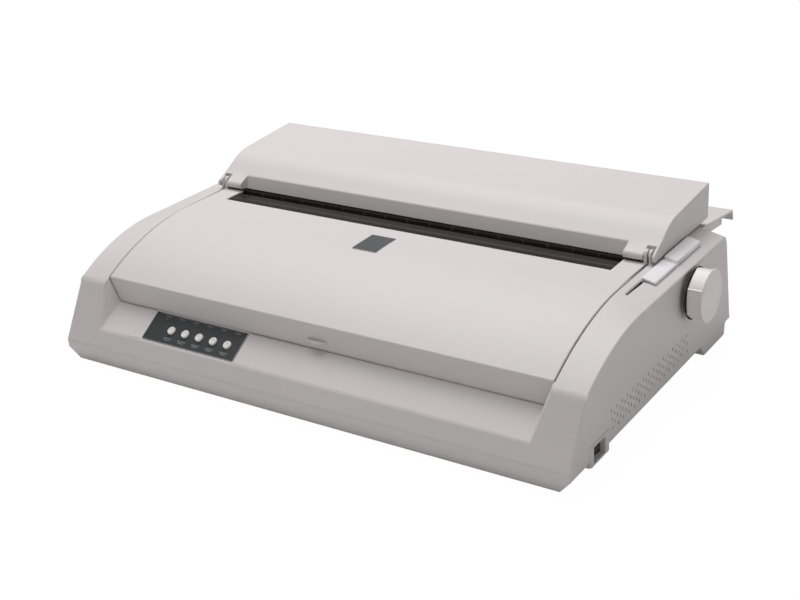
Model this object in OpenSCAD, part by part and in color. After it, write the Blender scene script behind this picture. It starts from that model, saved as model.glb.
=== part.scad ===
// Wide-carriage dot matrix printer, in millimetres.
// X runs to the right, Y to the rear and Z up; the printer stands on z = 0.
// The modules are drawn in the case's frame: x = 0 on its middle line, y = 0 at its front face.
// The last lines move them so that the origin lies under the middle of the whole printer.

/* [Case] */
// Width over the two side walls
case_w = 540; // [530:1:580]
// Depth from the front face to the foot of the rear wall
case_d = 342; // [340:1:350]
// Thickness of the moulded walls
wall = 2.5; // [2.2:0.1:2.8]
// Height of the joint between lower and upper case
rim_z = 14; // [13:0.5:15]
// How far the lower case draws in at each side
rim_taper = 11; // [8:0.5:12]
// Height of the nose, where the front face starts to lean back
nose_z = 21; // [19:0.5:23]
// Height of the bend between the front face and the top
bend_z = 76.5; // [75:0.5:78]
// Width of each side rail's top
rail_w = 31; // [30:0.5:34]
// Height of the side rails along their outer edge
rail_z = 104; // [102:0.5:105]
// Height of the covers' seam along the rails
seam_z = 111; // [110:0.25:112]
// Height of the front edge of the ledge under the front cover
ledge_z = 36; // [34:0.5:38]
// Rise of the ledge from its front edge to the front cover
ledge_rise = 19; // [17:0.5:20]
// Y of the back of the ledge, just in front of the front cover
ledge_back = 38.6; // [37.5:0.1:39.5]
// Gap between the covers and the case
gap = 0.5; // [0.4:0.1:0.7]

/* [Covers] */
// Depth of the paper slot, from its front edge to the covers' hinge
slot_depth = 30; // [29:0.5:34]
// Width of the paper slot
slot_w = 430; // [410:1:432]
// Distance of the hinge that both covers turn on from the foot of the rear wall
hinge_back = 122; // [121:0.25:123]
// Height of that hinge over the seam
hinge_rise = 7; // [6.75:0.25:7.5]
// Radius of the rounded nose on the rear cover's arms
nose_r = 5.8; // [5.5:0.1:6]
// Radius of the covers' hinge pins
pin_r = 2; // [1.5:0.1:2.2]
// Height of the rear cover's ridge
ridge_z = 147; // [146:0.5:150]
// How far the rear cover's rear face stands in front of the foot of the rear wall
ridge_back = 1; // [0:0.25:2]
// Slope of the rear cover's top, in degrees
hood_slope = 4.4; // [4:0.1:5]
// Radius of the rear cover's front curve
hood_r = 64; // [62:1:66]
// How far the rear cover overhangs each rail
hood_over = 6; // [5.5:0.5:7]
// Length of the rear paper guide behind the foot of the rear wall
guide_len = 69; // [62:1:76]

/* [Platen and paper feed] */
// Distance of the platen's axis from the foot of the rear wall
platen_back = 107; // [106:0.25:107.5]
// Height of the platen's axis
platen_z = 83; // [82:0.25:83.5]
// Radius of the platen's rubber
platen_r = 18; // [17.5:0.25:18.25]
// Radius of the platen's shaft
shaft_r = 5; // [4.5:0.25:5.5]
// Radius of the platen knob
knob_r = 24.3; // [22:0.1:26]
// Length of the platen knob's grip
knob_len = 16.5; // [14:0.5:18]
// Room between the side wall and that grip
knob_gap = 4.5; // [3:0.5:7]
// Number of the knob's finger faces
knob_faces = 6; // [5:1:8]
// Teeth of the platen's gear and of the tractor shaft's gear, at 1 mm module
drive_teeth = 36; // [34:2:36]
// Teeth of the lower idler gear
idler_teeth = 24; // [24:2:26]
// Teeth of the upper idler gear
upper_teeth = 28; // [28:2:30]
// Teeth of the feed motor's pinion
pinion_teeth = 12; // [12:1:14]
// Direction from the platen to the feed motor, in degrees from the rear
motor_dir = -57; // [-60:1:-55]
// Direction from the platen to the tractor shaft, in degrees from the rear
tractor_dir = 10; // [9:0.5:11]
// Distance of each tractor from the middle
tractor_x = 150; // [130:1:160]
// Radius of the pressure rollers under the platen
press_r = 6; // [5.5:0.25:6.25]

/* [Print carriage] */
// Distance of the rod that the carriage slides on from the platen's axis
rod_ahead = 49; // [48:0.5:50]
// Height of that rod
rod_z = 60; // [59:0.5:61]
// Radius of that rod
rod_r = 5; // [4.5:0.25:5.5]
// Width of the carriage
carriage_w = 52; // [48:1:54]
// Radius of the print head's round coil housing
head_r = 14; // [12:0.5:15]
// Distance of the belt pulleys from the middle
pulley_x = 206; // [202:1:208]
// Radius of the belt pulleys
pulley_r = 7; // [6:0.25:8]

/* [Controls] */
// Distance between the panel's buttons
button_pitch = 16.7; // [16:0.1:17.5]
// X of the first button
button_x = -151.1; // [-153:0.1:-150]
// Travel of a button
button_travel = 1.5; // [1:0.1:1.8]
// Forward travel of the paper lever
lever_travel = 30; // [24:1:32]
// Spacing of the vent slits along one row
vent_pitch = 10.5; // [9.5:0.1:12]
// Width of one vent slit
vent_w = 1.6; // [1.2:0.1:2]
// Height of one vent slit
vent_h = 3.2; // [2.6:0.1:3.4]

/* [Hidden] */
$fn = 48;

// Case: half widths and the angles of its front curve, measured from the horizontal
x_wall = case_w / 2;
x_seam = x_wall - rail_w;
x_cover = x_seam - 2 * gap;
x_hood = x_seam + hood_over;
x_frame = x_seam - 11;
frame_t = 2;
lean = 60.5;
curve_start = 31;
bend_r = 14;
rear_top_y = case_d - 20;
foot_gap = 1;
floor_t = 3;
case_red = "#cfcac6";

// Covers
hinge_y = case_d - hinge_back;
slot_front = hinge_y - slot_depth;
ridge_y = case_d - ridge_back;
guide_end = case_d + guide_len;
cover_t = wall;
cover_front = ledge_back - 1.4;
x_slot = slot_w / 2;
hinge_z = seam_z + hinge_rise;
hood_floor = seam_z + 1;
tab_x = x_seam - 4.5;
tab_t = 3;
running = 0.05;

// Paper feed: every gear lies in one plane outside the left side frame
platen_y = case_d - platen_back;
gear_w = 5;
gear_x = -x_frame - frame_t - 2.5 - gear_w;
function step_from(p, dist, dir) = [p[0] + dist * cos(dir), p[1] + dist * sin(dir)];
function gear_r(teeth) = teeth / 2;
platen_c = [platen_y, platen_z];
idler_c = step_from(platen_c, gear_r(drive_teeth + idler_teeth), motor_dir);
motor_c = step_from(idler_c, gear_r(idler_teeth + pinion_teeth), motor_dir);
upper_c = step_from(platen_c, gear_r(drive_teeth + upper_teeth), tractor_dir);
tractor_c = step_from(upper_c, gear_r(drive_teeth + upper_teeth), tractor_dir);
rail_c = [tractor_c[0] - 22, tractor_c[1] - 2];
tractor_w = 34;
deck_z = tractor_c[1] + 13;
press_c = step_from(platen_c, platen_r + press_r + 0.3, -80);

// Frame: its front end and heights inside the case
base_y = platen_y - 137;
frame_end = case_d - 16;
base_z = 7.5;
frame_top = 105.5;
board_z = base_z + 5.5;

// Carriage
rod_y = platen_y - rod_ahead;
belt_y = platen_y - 72;
belt_z = 50;
belt_h = 6;
belt_t = 1.2;
rail_y = platen_y - 88;
cart_y0 = cover_front + 36.8;
cart_y1 = platen_y - 101;
cart_z = 62;
cart_h = 22;

// Panel: the ledge's slope and the panel's place on it
ledge_front = (ledge_z - nose_z) / tan(lean);
ledge_angle = atan(ledge_rise / (ledge_back - ledge_front));
panel_x0 = button_x - 28;
panel_w = 4 * button_pitch + 42;
panel_y0 = 3;
panel_d = 30.5;
panel_board_z = -9;
button_y = 16.9;
led_y = 27.3;

// ---------- shapes that several pieces share ----------

// Radius of the long curve that rises from the bend to a top at the given height
function curve_r(top) = (top - bend_z) / (1 - cos(curve_start));

// Y of that curve's centre, where the leaning front face meets y = 0 at the nose
function curve_y(top) =
    let (r = curve_r(top), small_z = top - r + (r - bend_r) * cos(curve_start),
         along = (small_z + bend_r * cos(lean) - nose_z) / sin(lean))
    bend_r * sin(lean) + along * cos(lean) + (r - bend_r) * sin(curve_start);

// Points of an arc in the YZ plane; angles are measured from the vertical towards the front
function arc_yz(cy, cz, r, a0, a1, n) =
    [for (i = [0:n]) let (a = a0 + (a1 - a0) * i / n) [cy - r * sin(a), cz + r * cos(a)]];

// The long curve, moved inwards by d, from angle a0 at its front end to its level top
function long_curve(top, d, a0) = arc_yz(curve_y(top), top - curve_r(top), curve_r(top) - d, a0, 0, 14);

// Angle on the long curve at which it passes a given y
function curve_angle(top, y) = asin((curve_y(top) - y) / curve_r(top));

// The short curve at the bend between the front face and the long curve, moved inwards by d
function bend_curve(top, d) =
    let (r = curve_r(top) - bend_r)
    arc_yz(curve_y(top) - r * sin(curve_start), top - curve_r(top) + r * cos(curve_start),
        bend_r - d, lean, curve_start + 6, 4);

// Side outline of the case under a top at the given height, moved inwards by d
function case_outline(top, d, bottom) = concat(
    [[0.7 + d, bottom], [d / sin(lean), nose_z]],
    bend_curve(top, d), long_curve(top, d, curve_start),
    [[rear_top_y - d / 2, top - d], [rear_top_y + 4 - d, top - 7 - d / 2],
     [case_d - d, nose_z - 4], [case_d - d, bottom]]);

// Solid through equal outlines at several x, listed from left to right
module loft(stations) {
    n = len(stations[0][1]);
    last = len(stations) - 1;
    points = [for (s = stations) for (p = s[1]) [s[0], p[0], p[1]]];
    sides = [for (s = [0:last - 1]) for (i = [0:n - 1])
        let (a = s * n + i, b = s * n + (i + 1) % n, c = b + n, d = a + n) each [[a, b, c], [a, c, d]]];
    caps = [[for (i = [0:n - 1]) last * n + i], [for (i = [n - 1:-1:0]) i]];
    polyhedron(points, concat(sides, caps), convexity = 6);
}

// Box whose lower and upper rectangles differ: each is [half width, y front, y rear, z]
module tapered_box(low, high) {
    function ring(q) = [[-q[0], q[1], q[3]], [q[0], q[1], q[3]], [q[0], q[2], q[3]], [-q[0], q[2], q[3]]];
    polyhedron(concat(ring(low), ring(high)),
        [[0, 1, 2, 3], [7, 6, 5, 4], [0, 4, 5, 1], [1, 5, 6, 2], [2, 6, 7, 3], [3, 7, 4, 0]]);
}

// Prism of a YZ outline between two x
module along_x(x0, x1, outline) {
    translate([x0, 0, 0]) rotate([90, 0, 90]) linear_extrude(x1 - x0) polygon(outline);
}

// Cylinder along X about a YZ centre
module rod_x(x0, x1, c, r) {
    translate([x0, c[0], c[1]]) rotate([0, 90, 0]) cylinder(r = r, h = x1 - x0);
}

// Child repeated on the left and the right
module both_sides() {
    children();
    mirror([1, 0, 0]) children();
}

// Child drawn on the ledge: x as in the case, y up its slope, z out of its face
module on_ledge() {
    translate([0, ledge_front, ledge_z]) rotate([ledge_angle, 0, 0]) children();
}

// Stadium-shaped post: width across x, length along y
module stadium(w, l, h) {
    linear_extrude(h) union() {
        square([w, l - w], center = true);
        for (s = [-1, 1]) translate([0, s * (l - w) / 2]) circle(d = w);
    }
}

// Height of the rear paper guide's top and underside at a given y
function guide_top(y) = seam_z - 3.4 - (y - rear_top_y) * 0.117;
function guide_low(y) = guide_top(y) - 2.5;

// ---------- case ----------

screw_y = [64, case_d - 42];
screw_x = x_wall - 20;
foot_x = x_wall - 38;
foot_y = [34, case_d - 40];

// Footprint of the lower case at height z, drawn in by d
function tray_ring(z, d) =
    let (t = (z - foot_gap) / (rim_z - foot_gap))
    [x_wall - rim_taper * (1 - t) - d, 4.5 - 3.8 * t + d, case_d - 12 + 1.5 * t - d, z];

// Outline of a rear foot block, slanted at its front
foot_block = [[case_d - 74, rim_z], [case_d - 63.5, foot_gap], [case_d - 13, foot_gap], [case_d - 11, rim_z]];

// Opening for the power switch in the right wall
switch_c = [52.4, 17.6];
switch_w = 20;
switch_h = 14;
bezel = 6.5;

module lower_case() color(case_red) difference() {
    union() {
        difference() {
            tapered_box(tray_ring(foot_gap, 0), tray_ring(rim_z, 0));
            tapered_box(tray_ring(foot_gap + floor_t, wall), tray_ring(rim_z + 0.01, wall));
        }
        both_sides() along_x(x_wall - 14, x_wall, foot_block);
        both_sides() for (y = screw_y) translate([screw_x, y, foot_gap]) cylinder(r = 5, h = rim_z - foot_gap);
        for (x = [-x_frame + 18, 0, x_frame - 18], y = [base_y + 27, case_d - 22])
            translate([x, y, foot_gap]) cylinder(r = 6, h = base_z - 1.5 - foot_gap);
        for (x = [-180:45:180]) translate([x - 1, 12, foot_gap]) cube([2, base_y - 14, 7]);
    }
    both_sides() for (y = screw_y) translate([screw_x, y, 0]) {
        cylinder(r = 1.9, h = rim_z + 1);
        cylinder(r = 3.4, h = foot_gap + 3);
    }
    both_sides() for (y = foot_y) translate([foot_x, y, 0]) cylinder(r = 9.1, h = foot_gap + 2);
    translate([x_wall - 16, switch_c[0] - 17.2, switch_c[1] - 9.2]) cube([20, 34.4, 20]);
}

module rubber_feet() color("#2b2a2a")
    both_sides() for (y = foot_y) translate([foot_x, y, 0]) {
        cylinder(r = 8, h = 0.6);
        translate([0, 0, 0.6]) cylinder(r = 9, h = foot_gap + 1.4);
    }

module case_screws() color("#8d8f92")
    both_sides() for (y = screw_y) translate([screw_x, y, foot_gap + 1]) {
        cylinder(r = 3, h = 2);
        cylinder(r = 1.6, h = rim_z + 6);
    }

// Slant of the ledge's side walls: half width of the recess at a height and a depth
function recess_x(y, z) = x_slot + 16 + (z - ledge_z) * 0.39 - (y - ledge_front) * 0.33;

module ledge_recess() {
    function slope_z(y) = ledge_z + (y - ledge_front) * tan(ledge_angle);
    corners = [[-6, slope_z(-6)], [ledge_back, slope_z(ledge_back)], [ledge_back, bend_z + 6], [-6, bend_z + 6]];
    points = [for (s = [-1, 1]) for (c = corners) [s * recess_x(c[0], c[1]), c[0], c[1]]];
    polyhedron(points, [[0, 1, 2, 3], [7, 6, 5, 4], [0, 4, 5, 1], [1, 5, 6, 2], [2, 6, 7, 3], [3, 7, 4, 0]]);
}

// Everything that is open between the rails: the cover opening and the room below it
shelf_z = ledge_z + ledge_rise - 3;
mid_open = [[0.7 + wall, -1], [wall / sin(lean), nose_z],
    [ledge_front + wall, ledge_z - 3], [ledge_back - 4.4, shelf_z - wall], [ledge_back + 9, shelf_z - wall],
    [ledge_back + 9, shelf_z], [ledge_back, shelf_z], [cover_front - 0.6, bend_z + 1],
    [cover_front - 0.6, 160], [case_d + 20, 160], [case_d + 20, guide_low(case_d + 20)],
    [rear_top_y + 1.2, guide_low(rear_top_y + 1.2)], [case_d - wall, nose_z - 4],
    [case_d - wall, -1]];

// The rails' inner skirts end this far under the seam
skirt = 14;
skirt_open = concat([[ledge_back + 3, -1]], long_curve(seam_z, skirt, curve_angle(seam_z, ledge_back)),
    [[rear_top_y - 1, seam_z - skirt], [rear_top_y - 1, -1]]);

// Slits of the vent: staggered rows between two ends
vent_rows = 5;
vent_z = 24.5;
vent_row_step = 4.25;
vent_y0 = 75;
vent_y1 = platen_y + 3;
module vents() {
    for (row = [0:vent_rows - 1])
        for (y = [vent_y0 + (0.58 * vent_pitch * (vent_rows - 1 - row)) % vent_pitch:vent_pitch:vent_y1])
            translate([x_wall - wall - 1, y - vent_w / 2, vent_z + row * vent_row_step - vent_h / 2])
                cube([wall + 2, vent_w, vent_h]);
}

lever_x = x_seam + 8;
lever_y = hinge_y - 36;
lever_len = 102;
lever_w = 13;
stem_t = 1.4;

socket_x = -120;
socket_w = 56;
inlet_x = 190;
inlet_w = 28;
inlet_h = 22;
port_z = board_z + 12;
inlet_z = port_z + 4;

module case_form() loft([
    [-x_wall, case_outline(rail_z, 0, rim_z)], [-x_seam, case_outline(seam_z, 0, rim_z)],
    [x_seam, case_outline(seam_z, 0, rim_z)], [x_wall, case_outline(rail_z, 0, rim_z)]]);

module upper_case() color(case_red) difference() {
    union() {
        difference() {
            case_form();
            both_sides() loft([[x_seam + wall, case_outline(seam_z, wall, -1)],
                [x_wall - wall, case_outline(rail_z, wall, -1)]]);
            along_x(-x_seam, x_seam, mid_open);
            both_sides() along_x(x_seam - 1, x_seam + wall + 1, skirt_open);
            ledge_recess();
        }
        translate([-x_wall + wall, case_d - 14, rim_z]) cube([2 * (x_wall - wall), 13, 2]);
        both_sides() {
            translate([x_seam, hinge_y - 5, seam_z - skirt]) cube([wall, 10, hinge_z - seam_z + skirt]);
            rod_x(x_seam, x_seam + wall, [hinge_y, hinge_z], 5);
        }
        intersection() {
            case_form();
            both_sides() for (y = screw_y) translate([screw_x, y, rim_z]) cylinder(r = 4, h = seam_z);
        }
        on_ledge() for (x = [panel_x0 + 4, panel_x0 + panel_w - 4])
            translate([x, panel_y0 + panel_d / 2, panel_board_z]) cylinder(r = 3, h = -panel_board_z - 1.6);
        translate([x_wall - 13, switch_c[0] - 17, switch_c[1] - 8.8]) cube([14, 34, 19.4]);
    }
    both_sides() {
        vents();
        for (y = screw_y) translate([screw_x, y, rim_z - 1]) cylinder(r = 1.65, h = 12);
        rod_x(x_seam - 1, x_seam + wall + 1, [hinge_y, hinge_z], pin_r);
    }
    rod_x(x_wall - wall - 1, x_wall + 1, platen_c, shaft_r + 1);
    translate([lever_x - gap, lever_y - lever_travel - gap - 3, rail_z - 4])
        cube([stem_t + 2 * gap, lever_travel + 16 + 2 * gap, 12]);
    translate([x_wall - 14, switch_c[0] - switch_w / 2, switch_c[1] - switch_h / 2]) cube([16, switch_w, switch_h]);
    translate([x_wall - 8, switch_c[0], switch_c[1] - switch_h]) cylinder(r = 1.55, h = 2 * switch_h);
    on_ledge() {
        translate([panel_x0 - 0.2, panel_y0 - 0.2, -1]) cube([panel_w + 0.4, panel_d + 0.4, 3]);
        for (i = [0:4]) translate([button_x + i * button_pitch, button_y, -4]) stadium(8.1, 11.1, 6);
        for (i = [0:5]) translate([button_x + (i - 0.76) * button_pitch, led_y, -4]) cylinder(r = 1.3, h = 6);
    }
    translate([socket_x - socket_w / 2 - 0.3, case_d - 18, port_z - 8.3]) cube([socket_w + 0.6, 24, 16.6]);
    translate([inlet_x - inlet_w / 2 - 0.3, case_d - 18, inlet_z - inlet_h / 2 - 0.3])
        cube([inlet_w + 0.6, 24, inlet_h + 0.6]);
}

// ---------- covers ----------

// Band of the front cover's skin between offsets d0 and d1, up to a given y
function cover_band(d0, d1, y_end) =
    let (a = curve_angle(seam_z, cover_front))
    concat(long_curve(seam_z, d0, a), [[y_end, seam_z - d0], [y_end, seam_z - d1]],
        [for (p = [14:-1:0]) long_curve(seam_z, d1, a)[p]]);

arm_end = hinge_y - 2;
lip_z = seam_z - 5;
badge_c = [-7, slot_front - 37];
badge_w = 26;
badge_d = 34;
badge_tilt = 1.2;

// Height of the smoked window's top at a given y
function window_z(y) = seam_z - 1.4 - (y - slot_front) * 0.19;

module front_cover() color(case_red) difference() {
    union() {
        along_x(-x_cover, x_cover, cover_band(0, cover_t, slot_front));
        along_x(-x_cover, x_cover, [[ledge_back + 0.4, shelf_z + gap],
            long_curve(seam_z, 0, curve_angle(seam_z, cover_front))[0],
            long_curve(seam_z, cover_t, curve_angle(seam_z, cover_front))[0] + [2.2, 0],
            [ledge_back + 0.4 + cover_t, shelf_z + gap]]);
        translate([-x_cover, slot_front - cover_t, lip_z]) cube([2 * x_cover, cover_t, seam_z - lip_z]);
        both_sides() {
            along_x(x_cover - cover_t, x_cover, cover_band(1, 12, arm_end));
            translate([x_slot, slot_front - 1, seam_z - cover_t])
                cube([x_cover - x_slot, arm_end - slot_front + 1, cover_t]);
            translate([tab_x, hinge_y - 5, seam_z - cover_t]) cube([tab_t, 3, hinge_rise + cover_t]);
            rod_x(tab_x, tab_x + tab_t, [hinge_y, hinge_z], 5);
            for (x = [60, 160]) along_x(x, x + 1.8, cover_band(2, 7, slot_front - 10));
        }
        along_x(-x_slot, x_slot, [[slot_front - 1, lip_z - 1], [slot_front + 3, lip_z - 1],
            [slot_front + 3, window_z(slot_front + 3) - 2], [slot_front - 1, window_z(slot_front - 1) - 2]]);
        intersection() {
            translate([7, ledge_back + 7, shelf_z + 9.5]) cylinder(r = 13, h = 2);
            translate([-20, ledge_back - 8, shelf_z]) cube([56, 9, 14]);
        }
    }
    both_sides() rod_x(tab_x - 1, tab_x + tab_t + 1, [hinge_y, hinge_z], pin_r + running);
    translate([badge_c[0], badge_c[1], seam_z - 0.2]) rotate([badge_tilt, 0, 0])
        translate([-badge_w / 2 - 0.2, -badge_d / 2 - 0.2, -0.7]) cube([badge_w + 0.4, badge_d + 0.4, 4]);
}

module smoked_window() color([0.13, 0.12, 0.11, 0.6])
    along_x(-x_slot + 0.3, x_slot - 0.3, [for (p = [[0, 0], [21, 0], [21, -2], [0, -2]])
        [slot_front + p[0], window_z(slot_front + p[0]) + p[1]]]);

module badge_plate() color("#4a4d50")
    translate([badge_c[0], badge_c[1], seam_z - 0.2]) rotate([badge_tilt, 0, 0])
        translate([-badge_w / 2, -badge_d / 2, -0.7]) cube([badge_w, badge_d, 1]);

// Rear cover: its arc, and the angles at which the arc meets the floor and the noses of its arms
hood_top = [ridge_y - 79, ridge_z - 79 * tan(hood_slope)];
hood_c = [hood_top[0] + hood_r * sin(hood_slope), hood_top[1] - hood_r * cos(hood_slope)];
hood_a1 = acos((hood_floor + 1 - hood_c[1]) / hood_r);
nose_run = [hood_c[0] - hinge_y, hinge_z - hood_c[1]];
nose_a = atan2(nose_run[0], nose_run[1]) - acos((hood_r - nose_r) / norm(nose_run));

// Side outline with the noses: round the hinge, up to the arc, sloping top and rear face
hood_outer = concat(arc_yz(hinge_y, hinge_z, nose_r, 180, nose_a, 14),
    arc_yz(hood_c[0], hood_c[1], hood_r, nose_a, hood_slope, 12),
    [[ridge_y, ridge_z], [ridge_y, hood_floor], [hinge_y + 2, hood_floor]]);

// Side outline of the room inside the shell
hood_inner = concat([[hood_c[0] - (hood_r - cover_t) * sin(hood_a1), hood_floor - 5]],
    arc_yz(hood_c[0], hood_c[1], hood_r - cover_t, hood_a1, hood_slope, 14),
    [[ridge_y - cover_t, ridge_z - cover_t], [ridge_y - cover_t, hood_floor - 5]]);

// Everything in front of the leaning front wall between the arms, or of a plane d behind it
function hood_front(d) = [for (q = [[-30, -6], [0.6 + d, -6], [9 + d, 22], [-30, 22]])
    [hinge_y + q[0], hood_floor + q[1]]];

module rear_cover() color(case_red) difference() {
    along_x(-x_hood, x_hood, hood_outer);
    difference() {
        along_x(-x_hood + cover_t, x_hood - cover_t, hood_inner);
        along_x(-x_hood, x_hood, hood_front(cover_t + 0.2));
        both_sides() translate([x_slot - cover_t, hinge_y - 20, hood_floor - 6]) cube([40, 31, 60]);
    }
    along_x(-x_slot, x_slot, hood_front(0));
    both_sides() {
        translate([tab_x - 0.7, hinge_y - 20, hood_floor - 2]) cube([x_hood - cover_t - tab_x + 0.7, 26.2, 40]);
        rod_x(x_frame + 1, x_hood - 0.6, [hinge_y, hinge_z], pin_r + running);
    }
}

module hinge_pins() color("#b9bcc0")
    both_sides() rod_x(x_frame + 1.4, x_hood - 1, [hinge_y, hinge_z], pin_r);

module rear_paper_guide() color(case_red) {
    difference() {
        along_x(-x_hood, x_hood, [[rear_top_y - 1.6, guide_top(rear_top_y - 1.6)],
            [guide_end - 3, guide_top(guide_end - 3)], [guide_end, guide_top(guide_end) - 11],
            [guide_end - 2, guide_top(guide_end) - 11], [guide_end - 5, guide_low(guide_end - 5)],
            [rear_top_y - 1.6, guide_low(rear_top_y - 1.6)]]);
        both_sides() translate([x_frame - 1, rear_top_y - 40, seam_z - 20]) cube([30, 46, 30]);
    }
    both_sides() along_x(x_cover - cover_t, x_cover, [[case_d, guide_low(case_d)],
        [guide_end - 13, guide_low(guide_end - 13)], [guide_end - 13, guide_top(guide_end) - 13],
        [guide_end - 40, guide_top(guide_end) - 10.5], [case_d + 3, guide_top(case_d) - 12]]);
    for (x = [-160, -20, 120])
        along_x(x, x + 40, [[rear_top_y - 1.6, guide_low(rear_top_y)], [rear_top_y + 1, guide_low(rear_top_y)],
            [rear_top_y + 1, seam_z - 16], [rear_top_y - 1.6, seam_z - 16]]);
}

// ---------- operator panel ----------

button_w = 7.9;
button_l = 10.9;
module operator_panel() color("#5b6462") on_ledge() difference() {
    translate([panel_x0, panel_y0, -1]) cube([panel_w, panel_d, 1.2]);
    for (i = [0:4]) translate([button_x + i * button_pitch, button_y, -2])
        stadium(button_w + 0.2, button_l + 0.2, 4);
    for (i = [0:5]) translate([button_x + (i - 0.76) * button_pitch, led_y, -2]) cylinder(r = 1.3, h = 4);
}

module led_windows() color("#7fb08a") on_ledge()
    for (i = [0:5]) translate([button_x + (i - 0.76) * button_pitch, led_y, panel_board_z]) {
        cylinder(r = 1, h = 4);
        translate([0, 0, 3]) cylinder(r = 1.25, h = 6.6);
    }

module panel_board() color("#3e6b47") on_ledge() {
    translate([panel_x0, 4, panel_board_z - 1.6]) cube([panel_w, 27.5, 1.6]);
    for (i = [0:4]) translate([button_x + i * button_pitch - 3, button_y - 3, panel_board_z]) {
        cube([6, 6, 1]);
        translate([3, 3, 1]) cylinder(r = 1.5, h = 0.7);
    }
}

module button(i) color("#e9e7e2") on_ledge() translate([button_x + (i - 1) * button_pitch, button_y, 0]) {
    translate([0, 0, -4.5]) stadium(button_w, button_l, 6.7);
    translate([0, 0, -5.5]) stadium(button_w + 1.6, button_l + 1.6, 1);
}
module button_1() button(1);
module button_2() button(2);
module button_3() button(3);
module button_4() button(4);
module button_5() button(5);

// ---------- frame ----------

standoffs = [for (x = [-158, 33], y = [33, 213]) [x, base_y + y]];

module base_frame() color("#b4b6b8") {
    difference() {
        translate([-x_frame - 4, base_y, base_z - 1.5]) cube([2 * x_frame + 8, frame_end - base_y, 1.5]);
        for (x = [-140, -60]) translate([x, base_y + 62, 0]) cube([60, 110, 20]);
    }
    for (p = standoffs) translate([p[0], p[1], base_z]) cylinder(r = 3, h = board_z - base_z);
}

journal_r = 4.5;
rail_r = 4;
press_shaft_r = 3;
motor_shaft_r = 2.5;
stud_r = 3;
bushing_r = shaft_r + 3;

module side_frames() color("#b4b6b8") {
    both_sides() difference() {
        along_x(x_frame, x_frame + frame_t, [[base_y, base_z], [base_y, cart_z + 1], [platen_y - 72, cart_z + 1],
            [platen_y - 60, frame_top], [case_d - 30, frame_top], [case_d - 20, 70], [frame_end, base_z]]);
        rod_x(x_frame - 1, x_frame + frame_t + 1, platen_c, bushing_r);
        rod_x(x_frame - 1, x_frame + frame_t + 1, [rod_y, rod_z], rod_r);
        rod_x(x_frame - 1, x_frame + frame_t + 1, tractor_c, journal_r + running);
        rod_x(x_frame - 1, x_frame + frame_t + 1, rail_c, rail_r);
        rod_x(x_frame - 1, x_frame + frame_t + 1, press_c, press_shaft_r + running);
        rod_x(x_frame - 1, x_frame + frame_t + 1, motor_c, motor_shaft_r + 1);
    }
    for (c = [idler_c, upper_c]) {
        rod_x(gear_x - 0.8, -x_frame - 1, c, stud_r);
        rod_x(gear_x + gear_w + 0.5, -x_frame - 1, c, stud_r + 2);
    }
}

bar_y0 = base_y + 2;
bar_y1 = bar_y0 + 18;
module front_crossbar() color("#b4b6b8") difference() {
    translate([-x_frame, bar_y0, cart_z - 8]) cube([2 * x_frame, bar_y1 - bar_y0, 8]);
    translate([-x_frame - 1, bar_y0 + 1.5, cart_z - 9]) cube([2 * x_frame + 2, bar_y1 - bar_y0 - 3, 7.5]);
}

module platen_bushings() color("#d8d4c8")
    both_sides() difference() {
        union() {
            rod_x(x_frame - 1.6, x_frame, platen_c, bushing_r + 2);
            rod_x(x_frame - 0.1, x_frame + frame_t + 1.4, platen_c, bushing_r);
        }
        rod_x(x_frame - 3, x_frame + frame_t + 3, platen_c, shaft_r + running);
    }

// ---------- platen and gears ----------

grip_x0 = x_wall + knob_gap;
knob_face = grip_x0 + knob_len;
knob_chamfer = 1.4;
knob_hub = 9;

// Outline of the knob's grip: slightly domed faces that meet at narrow ridges
function grip_points() = [for (i = [0:knob_faces - 1], k = [0:12])
    let (step = 360 / knob_faces, a = k == 0 ? -1.4 : k == 1 ? 1.4 : 1.6 + (step - 3.2) * (k - 2) / 10,
         dip = k < 2 ? 0 : 0.5 + 0.09 * knob_r * (1 - pow((2 * a / step) - 1, 2)))
    [(knob_r - dip) * cos(31 + i * step + a), (knob_r - dip) * sin(31 + i * step + a)]];

module platen_roller() color("#1f1f20") difference() {
    rod_x(-x_slot + 2, x_slot - 2, platen_c, platen_r);
    rod_x(-x_slot, x_slot, platen_c, shaft_r);
}

module platen_shaft() color("#a9acb0") rod_x(gear_x - 1.5, grip_x0 + 8, platen_c, shaft_r);

module platen_knob() color("#e4e1da") difference() {
    union() {
        rod_x(x_wall + 1, grip_x0 + 1, platen_c, knob_hub);
        translate([grip_x0, platen_y, platen_z]) rotate([90, 0, 90]) {
            linear_extrude(knob_len - knob_chamfer) polygon(grip_points());
            translate([0, 0, knob_len - knob_chamfer])
                linear_extrude(knob_chamfer, scale = 1 - knob_chamfer / knob_r) polygon(grip_points());
        }
    }
    rod_x(x_wall, grip_x0 + 8, platen_c, shaft_r);
}

// Involute of the angle, in degrees
function inv(a) = (tan(a) - a * PI / 180) * 180 / PI;

// Half of a tooth's width, in degrees, at radius r on a gear with this many teeth
function half_tooth(teeth, r) =
    let (base = gear_r(teeth) * cos(20))
    88 / teeth + inv(20) - (r > base ? inv(acos(base / r)) : 1.2 * (base - r));

function gear_points(teeth, phase) =
    let (p = gear_r(teeth), radii = [p - 1.2, p - 0.45, p + 0.15, p + 0.75])
    [for (i = [0:teeth - 1]) each concat(
        [for (k = [0:3]) let (a = phase + i * 360 / teeth - half_tooth(teeth, radii[k]))
            [radii[k] * cos(a), radii[k] * sin(a)]],
        [for (k = [3:-1:0]) let (a = phase + i * 360 / teeth + half_tooth(teeth, radii[k]))
            [radii[k] * cos(a), radii[k] * sin(a)]])];

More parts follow.
